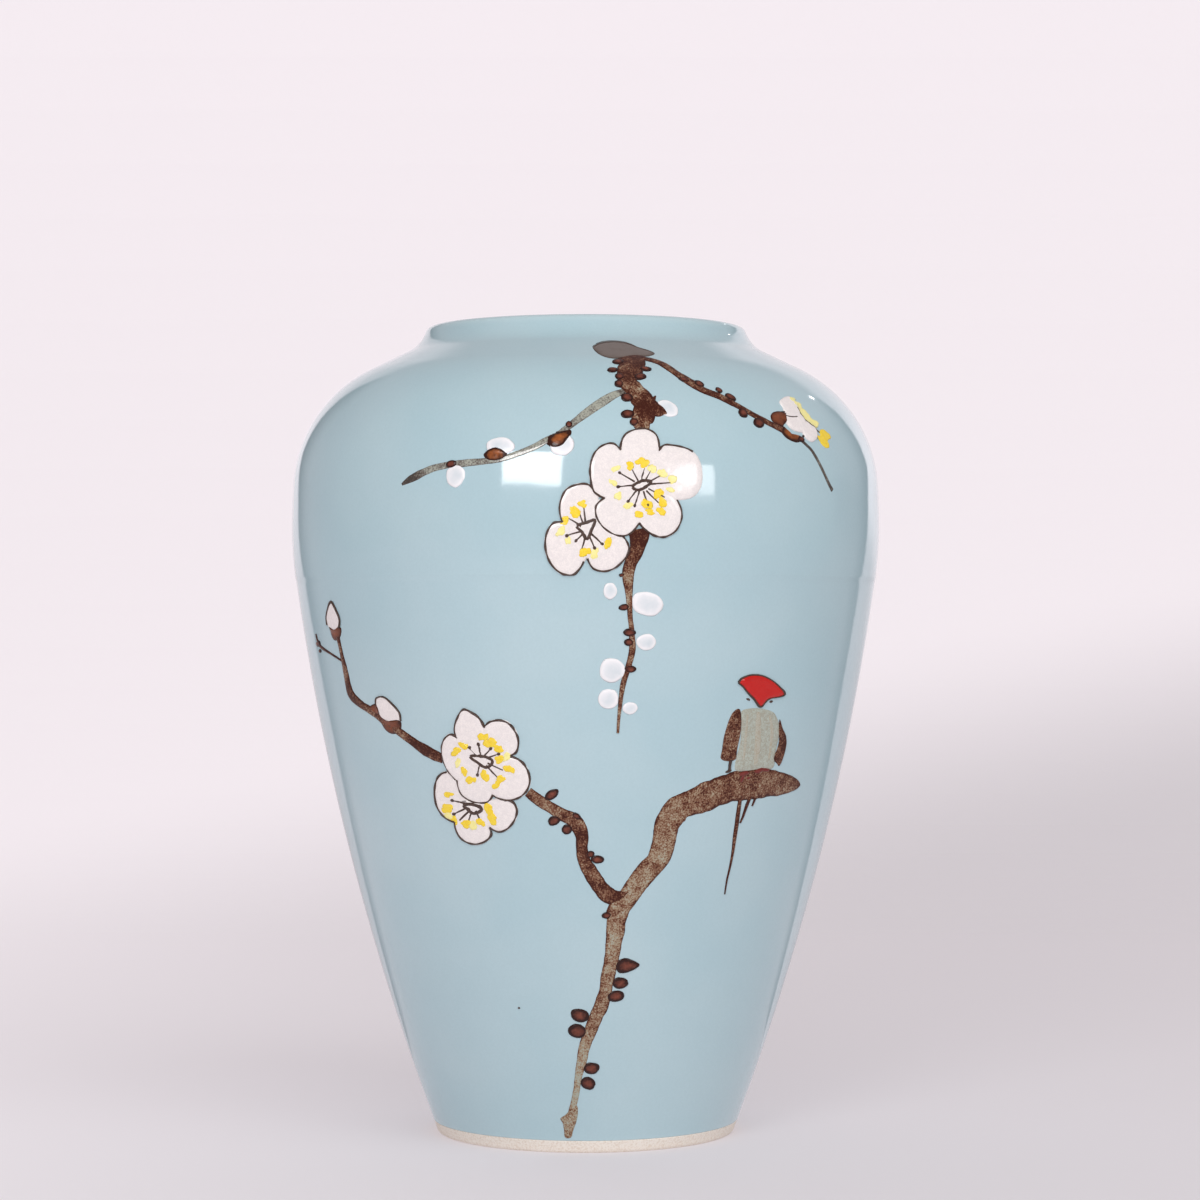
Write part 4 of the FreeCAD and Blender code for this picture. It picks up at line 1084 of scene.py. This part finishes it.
lay("dab", "claws", claws, "iron_red_brown", relief=0.5 * mm, wobble=0.9, material=clawSlip)
bpy.data.objects.remove(painted)

# The paper and its own painted light, in metres. Then the painted reflection, how much of that light the
# glaze mirrors: between two slanted lines, past them and above the top. Rows of four are from, to, and the
# values there.
stage = {
    "paper": "#E7E6EA", "lit": "#F7ECF0", "side": 3, "depth": 1.2, "curve": 0.6, "bends": 24, "height": 3,
    "diffuse": 0.55, "roughness": 0.9, "slant": -0.2, "paintedGlowAndShadow": (-0.02, 0.12, 0.33, 0.605),
    "behind": 0.72, "mirrored": 1.66, "mirrorDim": 0.45, "mirrorDark": 0.1, "mirrorMiddle": 0.1,
    "mirrorHalf": 0.61, "floorHalf": 0.96, "mirrorTop": 1.02, "topBlend": 0.15, "floorBlend": 0.4,
    "eyeLevel": 0.2, "upward": (0.35, 0.8, 1.0, 0.6), "across": (-0.7, 0.8, 0.85, 1.15),
    "nearest": 0.02, "front": (0.02, 0.1, 1.0, 0.0), "line": (0.95, 1.05, 1.0, 0.0), "past": (1.05, 1.7),
    "floorFar": (0.15, 0.9, 1.1, 0.65), "floorPast": (1.05, 1.5, 0.3, 1.0),
    "floorLine": (0.3, 1.0, 0.85, 1.25), "floorRight": (-0.3, 0.3, 0.8, 1.2),
}
print("setting the stage")


def sweepMesh():  # a sheet of paper that lies flat under the vase and curves up behind it
    depth, curve, side = stage["depth"], stage["curve"], stage["side"]
    points = [(-side, 0.0), (depth - curve, 0.0)]
    for i in range(1, stage["bends"] + 1):
        turn = math.radians(-90 + 90 * i / stage["bends"])
        points.append((depth - curve + curve * math.cos(turn), curve + curve * math.sin(turn)))
    points.append((depth, stage["height"]))
    verts = [(x, y, z) for y, z in points for x in (-side, side)]
    return newMesh("paper", verts, faces=[(i, i + 1, i + 3, i + 2) for i in range(0, len(verts) - 2, 2)])


def paperMaterial():  # pale paper with a painted light of its own from below up, in place of the lamp that shines on it, and painted shadow to the right
    material, add, place = newMaterial("paperSweep")
    soft = {"interpolation_type": "SMOOTHSTEP"}
    x, y, z = add("SeparateXYZ", place).outputs
    # Painted light and shadow: the paper glows more higher up and less to the right, where the vase's shadow
    # would fall.
    slant = add("Math MULTIPLY_ADD", x, stage["slant"], z)
    paintedGlowAndShadow = add("MapRange", slant, *stage["paintedGlowAndShadow"], **soft)
    # Painted reflection, for glossy rays only: in the glaze the paper looks brighter away from the middle, up
    # to slanted lines that run back from the vase. Past them it is dark and then dim, which draws the pale
    # band along each side of the vase.
    middle = (stage["mirrorMiddle"] * stage["depth"], stage["depth"], stage["eyeLevel"])
    apart = add("VectorMath DISTANCE", place, middle)
    bright = add("MapRange", apart.outputs["Value"], 0.0, stage["mirrorHalf"] * stage["depth"],
                 stage["behind"], stage["mirrored"])
    for value, label in ((z, "upward"), (x, "across")):
        bright = add("Math MULTIPLY", bright, add("MapRange", value, *stage[label]))
    back = add("Math MAXIMUM", y, stage["nearest"])
    aside = add("Math ABSOLUTE", add("Math MULTIPLY_ADD", back, -stage["mirrorMiddle"], x))
    aside = add("Math ADD", aside, add("MapRange", y, *stage["front"]))
    half = add("MapRange", z, 0.0, stage["floorBlend"], stage["floorHalf"], stage["mirrorHalf"])
    ratio = add("Math DIVIDE", add("Math DIVIDE", aside, back), half)
    inside = add("MapRange", ratio, *stage["line"], **soft)
    dim = add("MapRange", ratio, *stage["past"], stage["mirrorDark"], stage["mirrorDim"])
    upright = add("Mix", {"Factor": inside, 2: dim, 3: bright})
    high = add("MapRange", z, stage["mirrorTop"] - stage["topBlend"], stage["mirrorTop"] + stage["topBlend"],
               1.0, 0.0, **soft)
    upright = add("Mix", {"Factor": high, 2: stage["mirrorDim"], 3: upright})
    # In the painted reflection the flat part is darker beside the lines, and between them brighter towards
    # them and to the right.
    floor = add("MapRange", add("VectorMath LENGTH", place).outputs["Value"], *stage["floorFar"], **soft)
    floor = add("Math MULTIPLY", floor, add("MapRange", ratio, *stage["floorPast"]))
    strip = add("Math MULTIPLY", add("MapRange", ratio, *stage["floorLine"]),
                add("MapRange", x, *stage["floorRight"]))
    floor = add("Mix", {"Factor": inside, 2: floor, 3: strip})
    raised = add("MapRange", z, 0.0, stage["floorBlend"], 0.0, 1.0, **soft)
    mirror = add("Mix", {"Factor": raised, 2: floor, 3: upright})
    # Only glossy rays see the painted reflection, in the paper's glow and in its colour. Other rays see the
    # plain paper.
    glossy = add("LightPath").outputs["Is Glossy Ray"]
    share = add("Mix", {"Factor": glossy, 2: 1.0, 3: mirror})
    tone = [c * stage["diffuse"] for c in linear(stage["paper"])[:3]]
    dark = add("VectorMath SCALE", {0: tone, 3: mirror})
    body = add("Mix RGBA", {"Factor": glossy, 6: tone + [1], 7: dark})
    return finish(material, add, {
        "Base Color": body.outputs[2], "Roughness": stage["roughness"],
        "Emission Color": linear(stage["lit"]), "Emission Strength": add("Math MULTIPLY", paintedGlowAndShadow, share)})


paper = bpy.data.objects.new("paperSweep", sweepMesh())
paper.data.materials.append(paperMaterial())
scene.collection.objects.link(paper)

# Two soft boxes whose reflections lie on the shoulder, and a large one that the glaze doesn't mirror
lamps = {
    "key": {"turn": -19.8, "lift": 16.0, "far": 1.3, "wide": 0.5, "high": 0.41, "light": 8.4},
    "fill": {"turn": 40.6, "lift": 10.1, "far": 1.5, "wide": 0.44, "high": 0.25, "light": 4.9},
    "front": {"turn": 27, "lift": 38, "far": 3.2, "wide": 3.4, "high": 3.0, "light": 1.6},
}


def hang(label, data, area, light, place):  # a lamp of so much light for its area
    data.energy = light * area
    lamp = bpy.data.objects.new(label, data)
    lamp.location = place
    scene.collection.objects.link(lamp)
    return lamp


for label, lamp in lamps.items():
    data = bpy.data.lights.new(label, "AREA")
    data.shape = "RECTANGLE"
    data.size, data.size_y = lamp["wide"], lamp["high"]
    turn, lift = math.radians(lamp["turn"]), math.radians(lamp["lift"])
    way = Vector((math.sin(turn) * math.cos(lift), -math.cos(turn) * math.cos(lift), math.sin(lift)))
    box = hang(label, data, math.pi * lamp["wide"] * lamp["high"], lamp["light"],
               Vector((0, 0, outline["bellyHeight"] * mm)) + way * lamp["far"])
    box.rotation_euler = (-way).to_track_quat("-Z", "Y").to_euler()
    box.visible_glossy = label != "front"

# A small bright glint on the right of the shoulder, from a lamp that is placed by its reflection
glint = {"pixel": (812.5, 398.5), "far": 1.4, "size": 0.03, "light": 12.0}
spot, depth, normal = seen(*glint["pixel"])
ray = (spot - cameraPlace).normalized()
way = ray - 2 * ray.dot(normal) * normal
data = bpy.data.lights.new("glint", "AREA")
data.size = glint["size"]
box = hang("glint", data, math.pi * glint["size"] ** 2, glint["light"], spot + way * glint["far"])
box.rotation_euler = (-way).to_track_quat("-Z", "Y").to_euler()

# The room: how it lights the scene, how the glaze mirrors it, brighter as a painted reflection, and how the
# camera sees it
room = (("#F3EDF0", 0.3), ("#E4E6E6", 0.5), ("#F3E9ED", 0.9))
world = bpy.data.worlds.new("room")
scene.world = world
world.use_nodes = True
world.node_tree.nodes.clear()
add = partial(addNode, world.node_tree)
rays = add("LightPath").outputs
plain, mirrored, shown = (
    add("Background", {"Color": linear(code), "Strength": strength}) for code, strength in room)
lighting = add("MixShader", rays["Is Glossy Ray"], plain, mirrored)
add("OutputWorld", add("MixShader", rays["Is Camera Ray"], lighting, shown))
